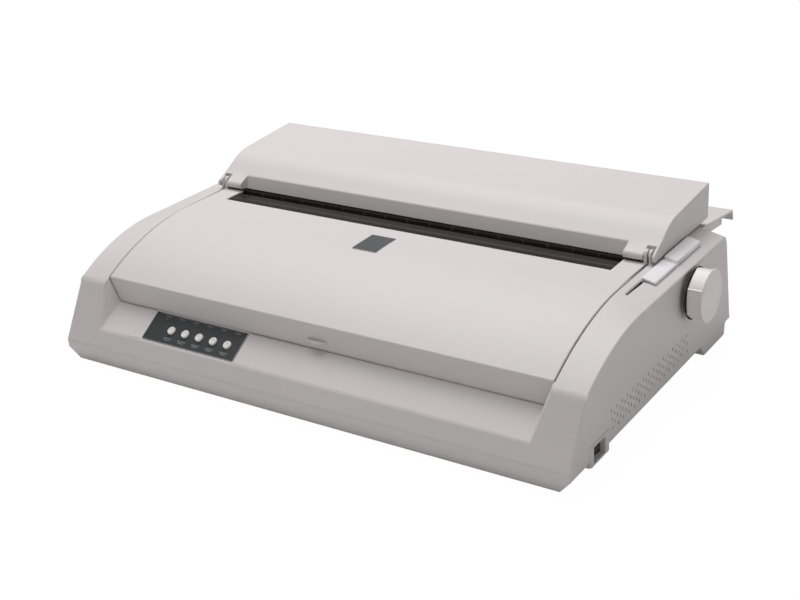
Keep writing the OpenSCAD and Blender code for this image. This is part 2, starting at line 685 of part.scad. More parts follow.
// Phase of a gear that meshes with one of the given phase, lying in direction dir from it
function mesh(phase, teeth, next_teeth, dir) =
    let (turns = (dir - phase) * teeth / 360, part = turns - floor(turns))
    dir + 180 - (0.5 - part) * 360 / next_teeth;

idler_phase = mesh(0, drive_teeth, idler_teeth, motor_dir);
pinion_phase = mesh(idler_phase, idler_teeth, pinion_teeth, motor_dir);
upper_phase = mesh(0, drive_teeth, upper_teeth, tractor_dir);
tractor_phase = mesh(upper_phase, upper_teeth, drive_teeth, tractor_dir);

module gear_body(c, teeth, phase)
    translate([gear_x, c[0], c[1]]) rotate([90, 0, 90]) linear_extrude(gear_w) polygon(gear_points(teeth, phase));

module bored_gear(c, teeth, phase, bore) difference() {
    gear_body(c, teeth, phase);
    rod_x(gear_x - 1, gear_x + gear_w + 1, c, bore);
}

module platen_gear() color("#e8e6df") bored_gear(platen_c, drive_teeth, 0, shaft_r);
module lower_idler_gear() color("#e8e6df") bored_gear(idler_c, idler_teeth, idler_phase, stud_r + running);
module upper_idler_gear() color("#e8e6df") bored_gear(upper_c, upper_teeth, upper_phase, stud_r + running);

module feed_motor() color("#3a3c40") difference() {
    union() {
        rod_x(-x_frame, -x_frame + 34, motor_c, 20);
        translate([-x_frame, motor_c[0] - 24, motor_c[1] - 6]) cube([2, 48, 12]);
    }
    rod_x(-x_frame - 1, -x_frame + 24, motor_c, motor_shaft_r + running);
}

module feed_pinion() color("#c9a85a") {
    gear_body(motor_c, pinion_teeth, pinion_phase);
    rod_x(gear_x + 1, -x_frame + 23, motor_c, motor_shaft_r);
}

module pressure_rollers() color("#2b2a2a") {
    rod_x(-x_frame - frame_t, x_frame + frame_t, press_c, press_shaft_r);
    for (x = [-165:110:165]) rod_x(x - 12, x + 12, press_c, press_r);
}

pan_r = platen_r + 1.6;
function pan_arc(r, a0, a1) = [for (i = [0:24]) let (a = a0 + (a1 - a0) * i / 24)
    [platen_y + r * cos(a), platen_z + r * sin(a)]];
module paper_pan() color("#9b9da0") difference() {
    along_x(-x_frame, x_frame, concat(pan_arc(pan_r + 1.2, -20, -160), pan_arc(pan_r, -160, -20)));
    for (x = [-165:110:165]) translate([x - 13, press_c[0] - press_r - 2, press_c[1] - 3])
        cube([26, 2 * press_r + 4, press_r + 6]);
}

module scale_bar() color("#c6c9cc")
    translate([-x_frame, hinge_y + 2.5, frame_top - 4]) cube([2 * x_frame, 1.2, 9.2]);

// ---------- tractors ----------

hex_r = 4 / cos(30);
module hex_bar(x0, x1, r) translate([x0, tractor_c[0], tractor_c[1]]) rotate([0, 90, 0])
    cylinder(r = r, h = x1 - x0, $fn = 6);

module tractor_drive_shaft() color("#c9cbce") {
    gear_body(tractor_c, drive_teeth, tractor_phase);
    rod_x(gear_x + 1, -x_frame + 2, tractor_c, journal_r);
    hex_bar(-x_frame + 1, x_frame - 1, hex_r);
    rod_x(x_frame - 2, x_frame + frame_t + 1, tractor_c, journal_r);
}

module tractor_rail() color("#a9acb0") rod_x(-x_frame - frame_t, x_frame + frame_t, rail_c, rail_r);

half_tractor = tractor_w / 2;
tractor_y0 = tractor_c[0] - 19;
tractor_y1 = tractor_c[0] + 21;
sprocket_w = 8;
pin_tip = 15.4;
door_axis_x = half_tractor - 2.5;
door_axis_z = deck_z + 4.4;

// Tractor drawn about x = 0 with its door's hinge at +x
module tractor_body() color("#55585c") difference() {
    union() {
        translate([-half_tractor, tractor_y0, tractor_c[1] - 10])
            cube([tractor_w, tractor_y1 - tractor_y0, deck_z - tractor_c[1] + 10]);
        rod_x(-half_tractor, half_tractor, rail_c, 8);
        translate([-half_tractor, rail_c[0], rail_c[1] - 8]) cube([tractor_w, 12, 16]);
        for (y = [tractor_y0, tractor_y1 - 4]) {
            translate([half_tractor - 5, y, deck_z - 1]) cube([5, 4, door_axis_z - deck_z + 1]);
            translate([door_axis_x, y, door_axis_z]) rotate([-90, 0, 0]) cylinder(r = 2.5, h = 4);
        }
    }
    rod_x(-half_tractor - 1, half_tractor + 1, tractor_c, hex_r + 0.4);
    rod_x(-half_tractor - 1, half_tractor + 1, rail_c, rail_r + running);
    rod_x(-sprocket_w / 2 - 0.5, sprocket_w / 2 + 0.5, tractor_c, pin_tip + 0.8);
    translate([door_axis_x, tractor_y0 - 1, door_axis_z]) rotate([-90, 0, 0])
        cylinder(r = 1.5 + running, h = tractor_y1 - tractor_y0 + 2);
}

module tractor_door() color("#4a4d51") {
    translate([door_axis_x, tractor_y0 + 0.5, door_axis_z]) rotate([-90, 0, 0])
        cylinder(r = 1.5, h = tractor_y1 - tractor_y0 - 1);
    translate([door_axis_x, tractor_y0 + 4.3, door_axis_z]) rotate([-90, 0, 0])
        cylinder(r = 2.3, h = tractor_y1 - tractor_y0 - 8.6);
    difference() {
        translate([-half_tractor + 3, tractor_y0 + 4.3, door_axis_z - 1.2])
            cube([half_tractor + door_axis_x - 3, tractor_y1 - tractor_y0 - 8.6, 2.6]);
        translate([-sprocket_w / 2 - 1, tractor_c[0] - 12, door_axis_z - 2]) cube([sprocket_w + 2, 24, 5]);
    }
}

module sprocket() color("#d9d6cc") difference() {
    union() {
        rod_x(-sprocket_w / 2, sprocket_w / 2, tractor_c, 12.4);
        for (i = [0:6]) translate([0, tractor_c[0], tractor_c[1]]) rotate([360 / 7 * i, 0, 0])
            translate([0, 0, 11]) cylinder(r1 = 1.9, r2 = 1.1, h = pin_tip - 11);
    }
    hex_bar(-sprocket_w, sprocket_w, hex_r + running);
}

// Lock lever about the rail, beside the tractor body
module lock_lever() color("#8a3b35") difference() {
    union() {
        rod_x(half_tractor + 0.3, half_tractor + 4.3, rail_c, 7.5);
        translate([half_tractor + 0.3, rail_c[0] - 7, rail_c[1]]) cube([4, 5, 18]);
    }
    rod_x(half_tractor, half_tractor + 5, rail_c, rail_r + running);
}

module tractor_right() translate([tractor_x, 0, 0]) tractor_body();
module tractor_left() translate([-tractor_x, 0, 0]) mirror([1, 0, 0]) tractor_body();
module tractor_door_right() translate([tractor_x, 0, 0]) tractor_door();
module tractor_door_left() translate([-tractor_x, 0, 0]) mirror([1, 0, 0]) tractor_door();
module sprocket_right() translate([tractor_x, 0, 0]) sprocket();
module sprocket_left() translate([-tractor_x, 0, 0]) sprocket();
module lock_lever_right() translate([tractor_x, 0, 0]) lock_lever();
module lock_lever_left() translate([-tractor_x, 0, 0]) mirror([1, 0, 0]) lock_lever();

// ---------- paper lever and power switch ----------

// Height of the rail's top at a given x
function rail_top(x) = seam_z - (x - x_seam) * (seam_z - rail_z) / rail_w;

// Section of the paper lever between two heights over the rail
function lever_plate(low, high) = [for (p = [[0, low], [0, high], [lever_w, high], [lever_w, low]])
    [lever_x - 0.5 + p[0], rail_top(lever_x + p[0]) + p[1]]];

module paper_lever() color("#e4e1da") {
    translate([0, lever_y + lever_len, 0]) rotate([90, 0, 0]) linear_extrude(lever_len) polygon(lever_plate(0.7, 3));
    translate([0, lever_y + lever_len, 0]) rotate([90, 0, 0])
        linear_extrude(lever_len / 2 + 2) polygon(lever_plate(0.7, 4.6));
    translate([lever_x, lever_y, rail_z - 7]) cube([stem_t, 13, rail_top(lever_x) - rail_z + 8.5]);
    translate([lever_x - 1.5, lever_y, rail_z - 7]) cube([6, 13, 2]);
}

module power_switch() color("#1d1d1f")
    translate([x_wall - 8, switch_c[0], switch_c[1]]) rotate([0, 0, -8]) {
        translate([-3.5, -9.2, -switch_h / 2 + 0.3]) cube([7.5, 18.4, switch_h - 0.6]);
        translate([0, 0, -switch_h / 2 - 1.6]) cylinder(r = 1.5, h = switch_h + 3.2);
    }

// ---------- print carriage ----------

rail_z0 = 44;
rail_z1 = 59.4;
arm_z = 60;

module carriage_rod() color("#c3c6ca") rod_x(-x_frame - frame_t, x_frame + frame_t, [rod_y, rod_z], rod_r);

module carriage_rail() color("#b4b6b8") {
    difference() {
        union() {
            translate([-x_frame, rail_y - 1, rail_z0]) cube([2 * x_frame, 4, rail_z1 - rail_z0]);
            both_sides() translate([pulley_x - 20, rail_y - 1, rail_z0]) cube([x_frame - pulley_x + 20, 40, 2]);
        }
        translate([pulley_x, belt_y, rail_z0 - 1]) cylinder(r = 4, h = 4);
    }
    translate([-pulley_x, belt_y, rail_z0]) cylinder(r = motor_shaft_r, h = belt_z + belt_h + 1 - rail_z0);
    translate([-pulley_x, belt_y, rail_z0]) cylinder(r = motor_shaft_r + 2, h = belt_z - 1.5 - rail_z0);
}

belt_in = belt_y + pulley_r + 0.1;
module carriage() color("#2f3134") difference() {
    union() {
        translate([-carriage_w / 2, belt_in + 2.9, rod_z - 8]) cube([carriage_w, 27, 22]);
        rod_x(-carriage_w / 2, carriage_w / 2, [rod_y, rod_z], 8);
        translate([-carriage_w / 2, rail_y - 5.5, arm_z]) cube([carriage_w, belt_in - rail_y + 10, 4]);
        translate([-carriage_w / 2, rail_y - 5.5, arm_z - 4]) cube([carriage_w, 4.2, 5]);
        translate([-carriage_w / 2, rail_y + 3.3, belt_z + belt_h + 0.6]) cube([carriage_w, 2.6, 5]);
        translate([-8, belt_in - 3, belt_z - 2]) cube([16, 7, arm_z - belt_z + 3]);
    }
    rod_x(-carriage_w, carriage_w, [rod_y, rod_z], rod_r + running);
    translate([0, belt_in, platen_z + 1]) rotate([-90, 0, 0]) cylinder(r = head_r, h = 40);
    translate([-10, belt_in - 0.4, belt_z - 0.4]) cube([20, belt_t + 0.8, belt_h + 0.8]);
}

head_y = rod_y - 14;
module print_head() color("#1c1d1f") {
    for (i = [0:4]) translate([0, head_y + 4.5 * i, platen_z + 1]) rotate([-90, 0, 0])
        cylinder(r = head_r, h = 2.5);
    translate([0, head_y, platen_z + 1]) rotate([-90, 0, 0]) cylinder(r = head_r - 2.5, h = 22);
    translate([-6, head_y + 21, platen_z - 5]) cube([12, platen_y - platen_r - 3 - head_y - 21, 10]);
}

module carriage_motor() color("#3a3c40") difference() {
    translate([pulley_x, belt_y, rail_z0 - 24]) cylinder(r = 18, h = 24);
    translate([pulley_x, belt_y, rail_z0 - 14]) cylinder(r = motor_shaft_r + running, h = 20);
}

module pulley(x) translate([x, belt_y, 0]) {
    translate([0, 0, belt_z]) cylinder(r = pulley_r, h = belt_h);
    for (z = [belt_z - 1, belt_z + belt_h + 0.2]) translate([0, 0, z]) cylinder(r = pulley_r + 1.4, h = 0.8);
    translate([0, 0, belt_z - 0.5]) cylinder(r = pulley_r - 1, h = belt_h + 1);
}

module drive_pulley() color("#c9a85a") {
    pulley(pulley_x);
    translate([pulley_x, belt_y, rail_z0 - 13]) cylinder(r = motor_shaft_r, h = belt_z + belt_h + 14 - rail_z0);
}

module idler_pulley() color("#d9d6cc") difference() {
    pulley(-pulley_x);
    translate([-pulley_x, belt_y, belt_z - 2]) cylinder(r = motor_shaft_r + running, h = belt_h + 4);
}

module drive_belt() color("#26272a") difference() {
    union() {
        translate([-pulley_x, belt_y - pulley_r - 0.1 - belt_t, belt_z])
            cube([2 * pulley_x, 2 * (pulley_r + 0.1 + belt_t), belt_h]);
        both_sides() translate([pulley_x, belt_y, belt_z]) cylinder(r = pulley_r + 0.1 + belt_t, h = belt_h);
    }
    translate([-pulley_x, belt_y - pulley_r - 0.1, belt_z - 1]) cube([2 * pulley_x, 2 * pulley_r + 0.2, belt_h + 2]);
    both_sides() translate([pulley_x, belt_y, belt_z - 1]) cylinder(r = pulley_r + 0.1, h = belt_h + 2);
}

cart_x = 200;
cart_mid = (cart_y0 + cart_y1) / 2;
band_y = platen_y - platen_r - 2.6;
module ribbon_cartridge() color("#232427") difference() {
    union() {
        translate([-cart_x, cart_y0, cart_z]) cube([2 * cart_x, cart_y1 - cart_y0, cart_h]);
        both_sides() {
            translate([cart_x - 5, cart_mid, cart_z]) cube([20, cart_y1 - cart_mid, cart_h]);
            translate([cart_x + 3, cart_y1 - 1, cart_z + 8]) cube([12, 52, 18]);
            translate([cart_x + 3, cart_y1 + 50, platen_z - 5.6]) cube([12, band_y + 0.4 - cart_y1 - 50, 12]);
        }
        for (x = [-120:60:120]) translate([x - 20, cart_y0 + 6, cart_z + cart_h - 1]) cube([40, 3, 2]);
    }
    translate([-cart_x + 2, cart_y0 + 2, cart_z + 2]) cube([2 * cart_x - 4, cart_y1 - cart_y0 - 4, cart_h - 4]);
    both_sides() translate([cart_x - 12, cart_y1 - 3, cart_z + 4]) cube([6, 6, cart_h - 8]);
    translate([-cart_x + 30, cart_mid, cart_z + cart_h - 4]) cylinder(r = 4 + running, h = 8);
}

module ribbon_band() color("#151516")
    translate([-cart_x - 3, band_y, platen_z - 5]) cube([2 * cart_x + 6, 0.4, 10.5]);

module ribbon_knob() color("#d9d6cc") translate([-cart_x + 30, cart_mid, 0]) {
    translate([0, 0, cart_z + cart_h - 10]) cylinder(r = 4, h = 12);
    difference() {
        translate([0, 0, cart_z + cart_h + 1]) cylinder(r = 9, h = 6);
        for (i = [0:9]) rotate([0, 0, 36 * i]) translate([9.6, 0, cart_z + cart_h]) cylinder(r = 1.6, h = 8);
    }
}

// ---------- electronics ----------

module main_board() color("#3e6b47") translate([0, base_y, board_z]) {
    translate([-165, 26, 0]) cube([205, 194, 1.6]);
    for (x = [-150:38:-36], y = [52, 87]) translate([x, y, 1.6]) cube([15, 28, 4]);
    translate([-20, 52, 1.6]) cube([42, 16, 5]);
    for (y = [102:24:174]) translate([-10, y, 1.6]) cylinder(r = 6, h = 14);
    translate([10, 92, 1.6]) cube([4, 90, 16]);
    translate([-150, 134, 1.6]) cube([90, 6, 9]);
}

module power_supply() color("#8d9196") translate([0, base_y, base_z]) {
    translate([60, 92, 0]) cube([146, 132, 2]);
    translate([72, 107, 1]) cube([62, 78, 30]);
    translate([80, 101, 5]) cube([46, 90, 22]);
    for (y = [115:28:171]) translate([156, y, 1]) cylinder(r = 11, h = 30);
    for (x = [176:5:200]) translate([x, 102, 1]) cube([2, 80, 24]);
}

module power_inlet() color("#1d1d1f") {
    difference() {
        union() {
            translate([inlet_x - inlet_w / 2, case_d - 32, inlet_z - inlet_h / 2]) cube([inlet_w, 33, inlet_h]);
            translate([inlet_x - 10, case_d - 32, base_z + 2]) cube([20, 10, inlet_z - inlet_h / 2 - base_z]);
        }
        translate([inlet_x - inlet_w / 2 + 3, case_d - 16, inlet_z - inlet_h / 2 + 4])
            cube([inlet_w - 6, 20, inlet_h - 8]);
    }
    for (x = [-7, 0, 7]) translate([inlet_x + x - 1, case_d - 17, inlet_z - 3 + (x == 0 ? 2 : -1)])
        cube([2, 13, 4]);
}

module interface_socket() color("#2a2c2f") {
    difference() {
        union() {
            translate([socket_x - socket_w / 2, case_d - 40, port_z - 8]) cube([socket_w, 41, 16]);
            translate([socket_x - socket_w / 2, case_d - 40, board_z + 1.6])
                cube([socket_w, 15, port_z - 8 - board_z]);
        }
        translate([socket_x - socket_w / 2 + 4, case_d - 6, port_z - 5]) cube([socket_w - 8, 10, 10]);
    }
    translate([socket_x - socket_w / 2 + 7, case_d - 7, port_z - 2]) cube([socket_w - 14, 6, 4]);
}

// ---------- drawing ----------

// Moves the case's frame so that the middle of the whole printer lies over the origin
module placed() translate([-(knob_face - x_wall) / 2, -guide_end / 2, 0]) children();

placed() lower_case();
placed() upper_case();
placed() front_cover();
placed() smoked_window();
placed() badge_plate();
placed() rear_cover();
placed() hinge_pins();
placed() rear_paper_guide();
placed() operator_panel();
placed() led_windows();
placed() panel_board();
placed() button_1();
placed() button_2();
placed() button_3();
placed() button_4();
placed() button_5();
placed() rubber_feet();
placed() case_screws();
placed() base_frame();
placed() side_frames();
placed() front_crossbar();
placed() platen_bushings();
placed() platen_roller();
placed() platen_shaft();
placed() platen_knob();
placed() platen_gear();
placed() feed_motor();
placed() feed_pinion();
placed() lower_idler_gear();
placed() upper_idler_gear();
placed() tractor_drive_shaft();
placed() tractor_rail();
placed() tractor_left();
placed() tractor_right();
placed() tractor_door_left();
placed() tractor_door_right();
placed() sprocket_left();
placed() sprocket_right();
placed() lock_lever_left();
placed() lock_lever_right();
placed() pressure_rollers();
placed() paper_pan();
placed() scale_bar();
placed() paper_lever();
placed() carriage_rod();
placed() carriage_rail();
placed() carriage();
placed() print_head();
placed() carriage_motor();
placed() drive_pulley();
placed() idler_pulley();
placed() drive_belt();
placed() ribbon_cartridge();
placed() ribbon_band();
placed() ribbon_knob();
placed() main_board();
placed() power_supply();
placed() power_inlet();
placed() interface_socket();
placed() power_switch();
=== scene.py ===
"""Wide-carriage dot matrix printer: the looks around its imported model."""

import math

import bmesh
import bpy
import numpy as np
from mathutils import Matrix, Vector


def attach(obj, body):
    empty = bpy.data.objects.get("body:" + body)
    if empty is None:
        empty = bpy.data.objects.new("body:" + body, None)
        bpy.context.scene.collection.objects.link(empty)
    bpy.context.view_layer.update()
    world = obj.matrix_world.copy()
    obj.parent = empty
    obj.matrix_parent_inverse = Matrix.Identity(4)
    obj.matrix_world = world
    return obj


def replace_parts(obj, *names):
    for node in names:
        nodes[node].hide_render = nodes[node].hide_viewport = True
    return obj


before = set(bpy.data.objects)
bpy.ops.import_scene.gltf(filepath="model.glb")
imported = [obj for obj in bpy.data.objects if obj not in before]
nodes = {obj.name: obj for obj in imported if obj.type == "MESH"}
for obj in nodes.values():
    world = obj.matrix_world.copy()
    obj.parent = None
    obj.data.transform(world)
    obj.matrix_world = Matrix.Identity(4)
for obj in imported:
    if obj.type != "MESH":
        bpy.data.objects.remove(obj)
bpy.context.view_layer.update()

# ---------------------------------------------------------------- camera
# A small product camera in front of the printer's right half, looking down on it. Its place, lens and
# slight roll were fitted to the printer's outline once and stay as they are.
scene = bpy.context.scene
CAMERA_PLACE = Vector((0.6641, -1.0183, 0.5761))
YAW, PITCH, ROLL = (math.radians(a) for a in (34.19, 23.92, 3.25))
LENS, SENSOR, FAR_LIMIT = 61.48, 36.0, 50

ahead = Vector((-math.sin(YAW) * math.cos(PITCH), math.cos(YAW) * math.cos(PITCH), -math.sin(PITCH)))
level = Vector((math.cos(YAW), math.sin(YAW), 0))
below = ahead.cross(level)
right = math.cos(ROLL) * level + math.sin(ROLL) * below
down = math.cos(ROLL) * below - math.sin(ROLL) * level
lens = bpy.data.cameras.new("camera")
lens.lens, lens.sensor_width, lens.clip_end = LENS, SENSOR, FAR_LIMIT
camera = bpy.data.objects.new("camera", lens)
turn = Matrix((right, -down, -ahead)).transposed().to_4x4()
camera.matrix_world = Matrix.Translation(CAMERA_PLACE) @ turn
scene.collection.objects.link(camera)
scene.camera = camera

# ---------------------------------------------------------------- studio
# A white sheet that runs under and behind the printer, a dim sky all round, and soft lamps: a broad
# one overhead that makes the tops the brightest faces, and weak ones at the front and the right.


def plain_material(name, colour, roughness, metallic=0.0):
    """A material with one even colour on the standard shader."""
    material = bpy.data.materials.new(name)
    material.use_nodes = True
    shader = material.node_tree.nodes["Principled BSDF"]
    shader.inputs["Base Color"].default_value = (*colour, 1)
    shader.inputs["Roughness"].default_value = roughness
    shader.inputs["Metallic"].default_value = metallic
    return material


def soft_lamp(name, place, target, size, power):
    """A square lamp at one point, in metres, that faces another; its power is in watts."""
    data = bpy.data.lights.new(name, "AREA")
    data.shape, data.size, data.energy = "SQUARE", size, power
    lamp = bpy.data.objects.new(name, data)
    lamp.location = place
    lamp.rotation_euler = (Vector(target) - Vector(place)).to_track_quat("-Z", "Y").to_euler()
    scene.collection.objects.link(lamp)


# To the camera the sheet is nearly all glow, so that it reads as white and still holds a faint shadow
FLOOR_SIZE, SHEET_GLOW, GLOW_SHARE = 30.0, 1.03, 0.95
half = FLOOR_SIZE / 2
sheet = bpy.data.meshes.new("floor")
corners = [(-half, -half, 0), (half, -half, 0), (half, half, 0), (-half, half, 0)]
sheet.from_pydata(corners, [], [(0, 1, 2, 3)])
floor = bpy.data.objects.new("floor", sheet)
scene.collection.objects.link(floor)
paper_white = plain_material("paper_white", (0.8, 0.8, 0.8), 0.9)
tree = paper_white.node_tree
rays = tree.nodes.new("ShaderNodeLightPath")
glow = tree.nodes.new("ShaderNodeEmission")
blend = tree.nodes.new("ShaderNodeMixShader")
glow.inputs["Strength"].default_value = SHEET_GLOW
share = tree.nodes.new("ShaderNodeMath")
share.operation = "MULTIPLY"
share.inputs[1].default_value = GLOW_SHARE
tree.links.new(rays.outputs["Is Camera Ray"], share.inputs[0])
tree.links.new(share.outputs[0], blend.inputs["Fac"])
tree.links.new(tree.nodes["Principled BSDF"].outputs[0], blend.inputs[1])
tree.links.new(glow.outputs[0], blend.inputs[2])
tree.links.new(blend.outputs[0], tree.nodes["Material Output"].inputs["Surface"])
sheet.materials.append(paper_white)

# The sky lights the printer dimly, and is white where the camera sees it or sees it through glass
SKY_LIGHT, SKY_SEEN = (0.25, 0.243, 0.243), (1, 1, 1)
world = bpy.data.worlds.new("sky")
world.use_nodes = True
scene.world = world
sky = world.node_tree
rays = sky.nodes.new("ShaderNodeLightPath")
seen = sky.nodes.new("ShaderNodeMath")
seen.operation = "MAXIMUM"
pick = sky.nodes.new("ShaderNodeMixRGB")
pick.inputs["Color1"].default_value = (*SKY_LIGHT, 1)
pick.inputs["Color2"].default_value = (*SKY_SEEN, 1)
sky.links.new(rays.outputs["Is Camera Ray"], seen.inputs[0])
sky.links.new(rays.outputs["Is Transmission Ray"], seen.inputs[1])
sky.links.new(seen.outputs[0], pick.inputs["Fac"])
sky.links.new(pick.outputs[0], sky.nodes["Background"].inputs["Color"])
sky.nodes["Background"].inputs["Strength"].default_value = 1.0

soft_lamp("lamp_high", (-0.7, 0.62, 2.4), target=(0, 0, 0), size=2.0, power=58)
soft_lamp("lamp_front", (0.2, -2.4, 0.7), target=(0, 0, 0.05), size=1.6, power=2.4)
soft_lamp("lamp_right", (2.6, -0.4, 1.0), target=(0, 0, 0.05), size=1.4, power=4.2)

# ---------------------------------------------------------------- case
# Upper and lower shell, injection moulded in pale warm-grey styrene with a fine spark-eroded texture;
# four screws from below hold them together. Every outer edge is rounded by about a millimetre.


def noise(tree, scale, detail=2.0, stretch=None):
    """A noise from 0 to 1 on the piece's own coordinates, in grains a metre; stretch draws it out."""
    place = tree.nodes.new("ShaderNodeTexCoord").outputs["Object"]
    if stretch:
        drawn = tree.nodes.new("ShaderNodeMapping")
        drawn.inputs["Scale"].default_value = stretch
        tree.links.new(place, drawn.inputs["Vector"])
        place = drawn.outputs[0]
    texture = tree.nodes.new("ShaderNodeTexNoise")
    texture.inputs["Scale"].default_value = scale
    texture.inputs["Detail"].default_value = detail
    tree.links.new(place, texture.inputs["Vector"])
    return texture.outputs["Fac"]


def vary_colour(tree, share, dark, pale):
    """Mixes the shader's colour from two by a share from 0 to 1."""
    tint = tree.nodes.new("ShaderNodeMixRGB")
    tint.inputs["Color1"].default_value = (*dark, 1)
    tint.inputs["Color2"].default_value = (*pale, 1)
    tree.links.new(share, tint.inputs["Fac"])
    tree.links.new(tint.outputs[0], tree.nodes["Principled BSDF"].inputs["Base Color"])


def vary_roughness(tree, share, low, high):
    """Moves the shader's roughness between two values by a share from 0 to 1."""
    spread = tree.nodes.new("ShaderNodeMapRange")
    spread.inputs["To Min"].default_value, spread.inputs["To Max"].default_value = low, high
    tree.links.new(share, spread.inputs["Value"])
    tree.links.new(spread.outputs["Result"], tree.nodes["Principled BSDF"].inputs["Roughness"])


def raise_surface(tree, height, strength, distance=0.0002):
    """Bumps the shader's surface by a height from 0 to 1, times a distance in metres."""
    raised = tree.nodes.new("ShaderNodeBump")
    raised.inputs["Strength"].default_value = strength
    raised.inputs["Distance"].default_value = distance
    tree.links.new(height, raised.inputs["Height"])
    tree.links.new(raised.outputs[0], tree.nodes["Principled BSDF"].inputs["Normal"])


def moulded_plastic(name, colour, roughness=0.5, grain=0.1, grain_size=0.0007):
    """Moulded plastic: a colour with faint cloudy mottling and a fine raised grain.

    The clouds, a few to the width of the case, go from 2.5 per cent darker to 2 per cent paler."""
    material = plain_material(name, colour, roughness)
    tree = material.node_tree
    dark, pale = [c * 0.975 for c in colour], [min(1, c * 1.02) for c in colour]
    vary_colour(tree, noise(tree, 9.0, 4.0), dark, pale)
    raise_surface(tree, noise(tree, 1 / grain_size), grain)
    return material


# The case's own frame: millimetres from its middle line and its front face
MM = 0.001
CASE_MIDDLE = np.array((10.5, 205.5, 0.0))


def to_case(points):
    """Points of the row's frame in the case's frame, in millimetres."""
    return np.asarray(points) / MM + CASE_MIDDLE


def to_row(points):
    """Points of the case's frame, in millimetres, in the row's frame, in metres."""
    return (np.asarray(points, dtype=float) - CASE_MIDDLE) * MM


def even_normals(mesh, rounded=None, flat_turn=13, round_turn=50):
    """Gives every corner a normal that keeps broad faces flat and narrow rounded ones soft.

    A corner's normal is the sum of the normals of the faces at its point, each times its area. Only
    faces that turn by less than flat_turn degrees from the corner's own face count, or by less than
    round_turn where one of the two is a rounded strip, and a strip weighs next to nothing."""
    strip_weight, own_weight = 1e-4, 1e-12
    corners = len(mesh.loops)
    point = np.empty(corners, dtype=np.int64)
    mesh.loops.foreach_get("vertex_index", point)
    total = np.empty(len(mesh.polygons), dtype=np.int64)
    mesh.polygons.foreach_get("loop_total", total)
    normal, area = np.empty(len(mesh.polygons) * 3), np.empty(len(mesh.polygons))
    mesh.polygons.foreach_get("normal", normal)
    mesh.polygons.foreach_get("area", area)
    face = np.repeat(np.arange(len(total)), total)
    normal, weight = normal.reshape(-1, 3)[face], area[face]
    soft = np.ones(corners, dtype=bool) if rounded is None else rounded[face]
    weight = np.where(soft & (rounded is not None), strip_weight, 1.0) * weight
    order = np.argsort(point, kind="stable")
    sizes = np.bincount(point, minlength=len(mesh.vertices))[point[order]]
    group = np.searchsorted(point[order], point[order])
    one = np.repeat(np.arange(corners), sizes)
    other = np.repeat(group, sizes) + np.arange(len(one)) - np.repeat(np.cumsum(sizes) - sizes, sizes)
    one, other = order[one], order[other]
    turn_limit = np.where(soft[one] | soft[other], round_turn, flat_turn)
    near = (normal[one] * normal[other]).sum(axis=1) > np.cos(np.radians(turn_limit))
    pull = np.where(near, weight[other], 0) + own_weight * (one == other)
    mean = np.stack([np.bincount(one, pull * normal[other, axis], corners) for axis in range(3)], axis=1)
    mean /= np.linalg.norm(mean, axis=1, keepdims=True)
    mesh.polygons.foreach_set("use_smooth", np.ones(len(mesh.polygons), dtype=bool))
    mesh.normals_split_custom_set(mean.tolist())


def add_piece(name, mesh, body, material):
    """Links a finished mesh as a piece that rides on a body."""
    mesh.materials.clear()
    mesh.materials.append(material)
    piece = bpy.data.objects.new(name, mesh)
    scene.collection.objects.link(piece)
    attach(piece, body)
    return piece


def rounded_copy(node, radius, chosen=lambda x, y, z: True, segments=3, least=24, drop=None):
    """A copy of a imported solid's mesh whose chosen sharp edges are rounded.

    The loose triangles are merged; an edge is rounded where its faces turn by more than the least
    angle, in degrees, where it is long enough for the radius, in millimetres, and where chosen() says
    yes to its middle point in the case's frame. drop() may say by how many millimetres a corner comes
    to lie lower than in the solid."""
    same_point, long_enough = 2e-6, 1.2
    form = bmesh.new()
    form.from_mesh(nodes[node].data)
    bmesh.ops.remove_doubles(form, verts=form.verts, dist=same_point)
    if drop:
        for corner in form.verts:
            corner.co.z -= drop(*to_case(corner.co)) * MM
    sharp = []
    for edge in form.edges:
        if len(edge.link_faces) == 2 and edge.calc_face_angle(0) > math.radians(least):
            middle = to_case((edge.verts[0].co + edge.verts[1].co) / 2)
            if edge.calc_length() > long_enough * radius * MM and chosen(*middle):
                sharp.append(edge)
    strip = form.faces.layers.int.new("rounded")
    made = bmesh.ops.bevel(form, geom=sharp, offset=radius * MM, segments=segments, profile=0.5,
                           affect="EDGES", clamp_overlap=False)
    for part in made["faces"]:
        part[strip] = 1
    bmesh.ops.triangulate(form, faces=[f for f in form.faces if len(f.verts) > 4])
    mesh = bpy.data.meshes.new(node + "_rounded")
    rounded = np.array([f[strip] for f in form.faces], dtype=bool)
    form.to_mesh(mesh)
    form.free()
    even_normals(mesh, rounded)
    return mesh


def shell(node, name, body, slot, material, radius, *options, **more):
    """A rounded copy, with its radius in millimetres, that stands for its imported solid."""
    piece = add_piece(name, rounded_copy(node, radius, *options, **more), body, material)
    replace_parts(piece, node)
    return piece


SHELLS_MEET_Z, LEDGE_END_Y, RAIL_INSIDE_X = 16, 60, 227
VENT_X, VENT_FRONT, VENT_BACK, VENT_TOP = 245, 30, 250, 50
TRAY_FLOOR_Z, BLOCK_X, BLOCK_Y = 6, 255, 240


def top_edges(x, y, z):
    """Edges of the upper case that are rounded: its rails, its front and its ledge, not the vents."""
    in_vents = x > VENT_X and VENT_FRONT < y < VENT_BACK and z < VENT_TOP
    return z > SHELLS_MEET_Z and (y < LEDGE_END_Y or abs(x) > RAIL_INSIDE_X and not in_vents)


def tray_edges(x, y, z):
    """Edges of the tray that are rounded: those round its floor and on the blocks at its rear."""
    return z < TRAY_FLOOR_Z or abs(x) > BLOCK_X and y > BLOCK_Y


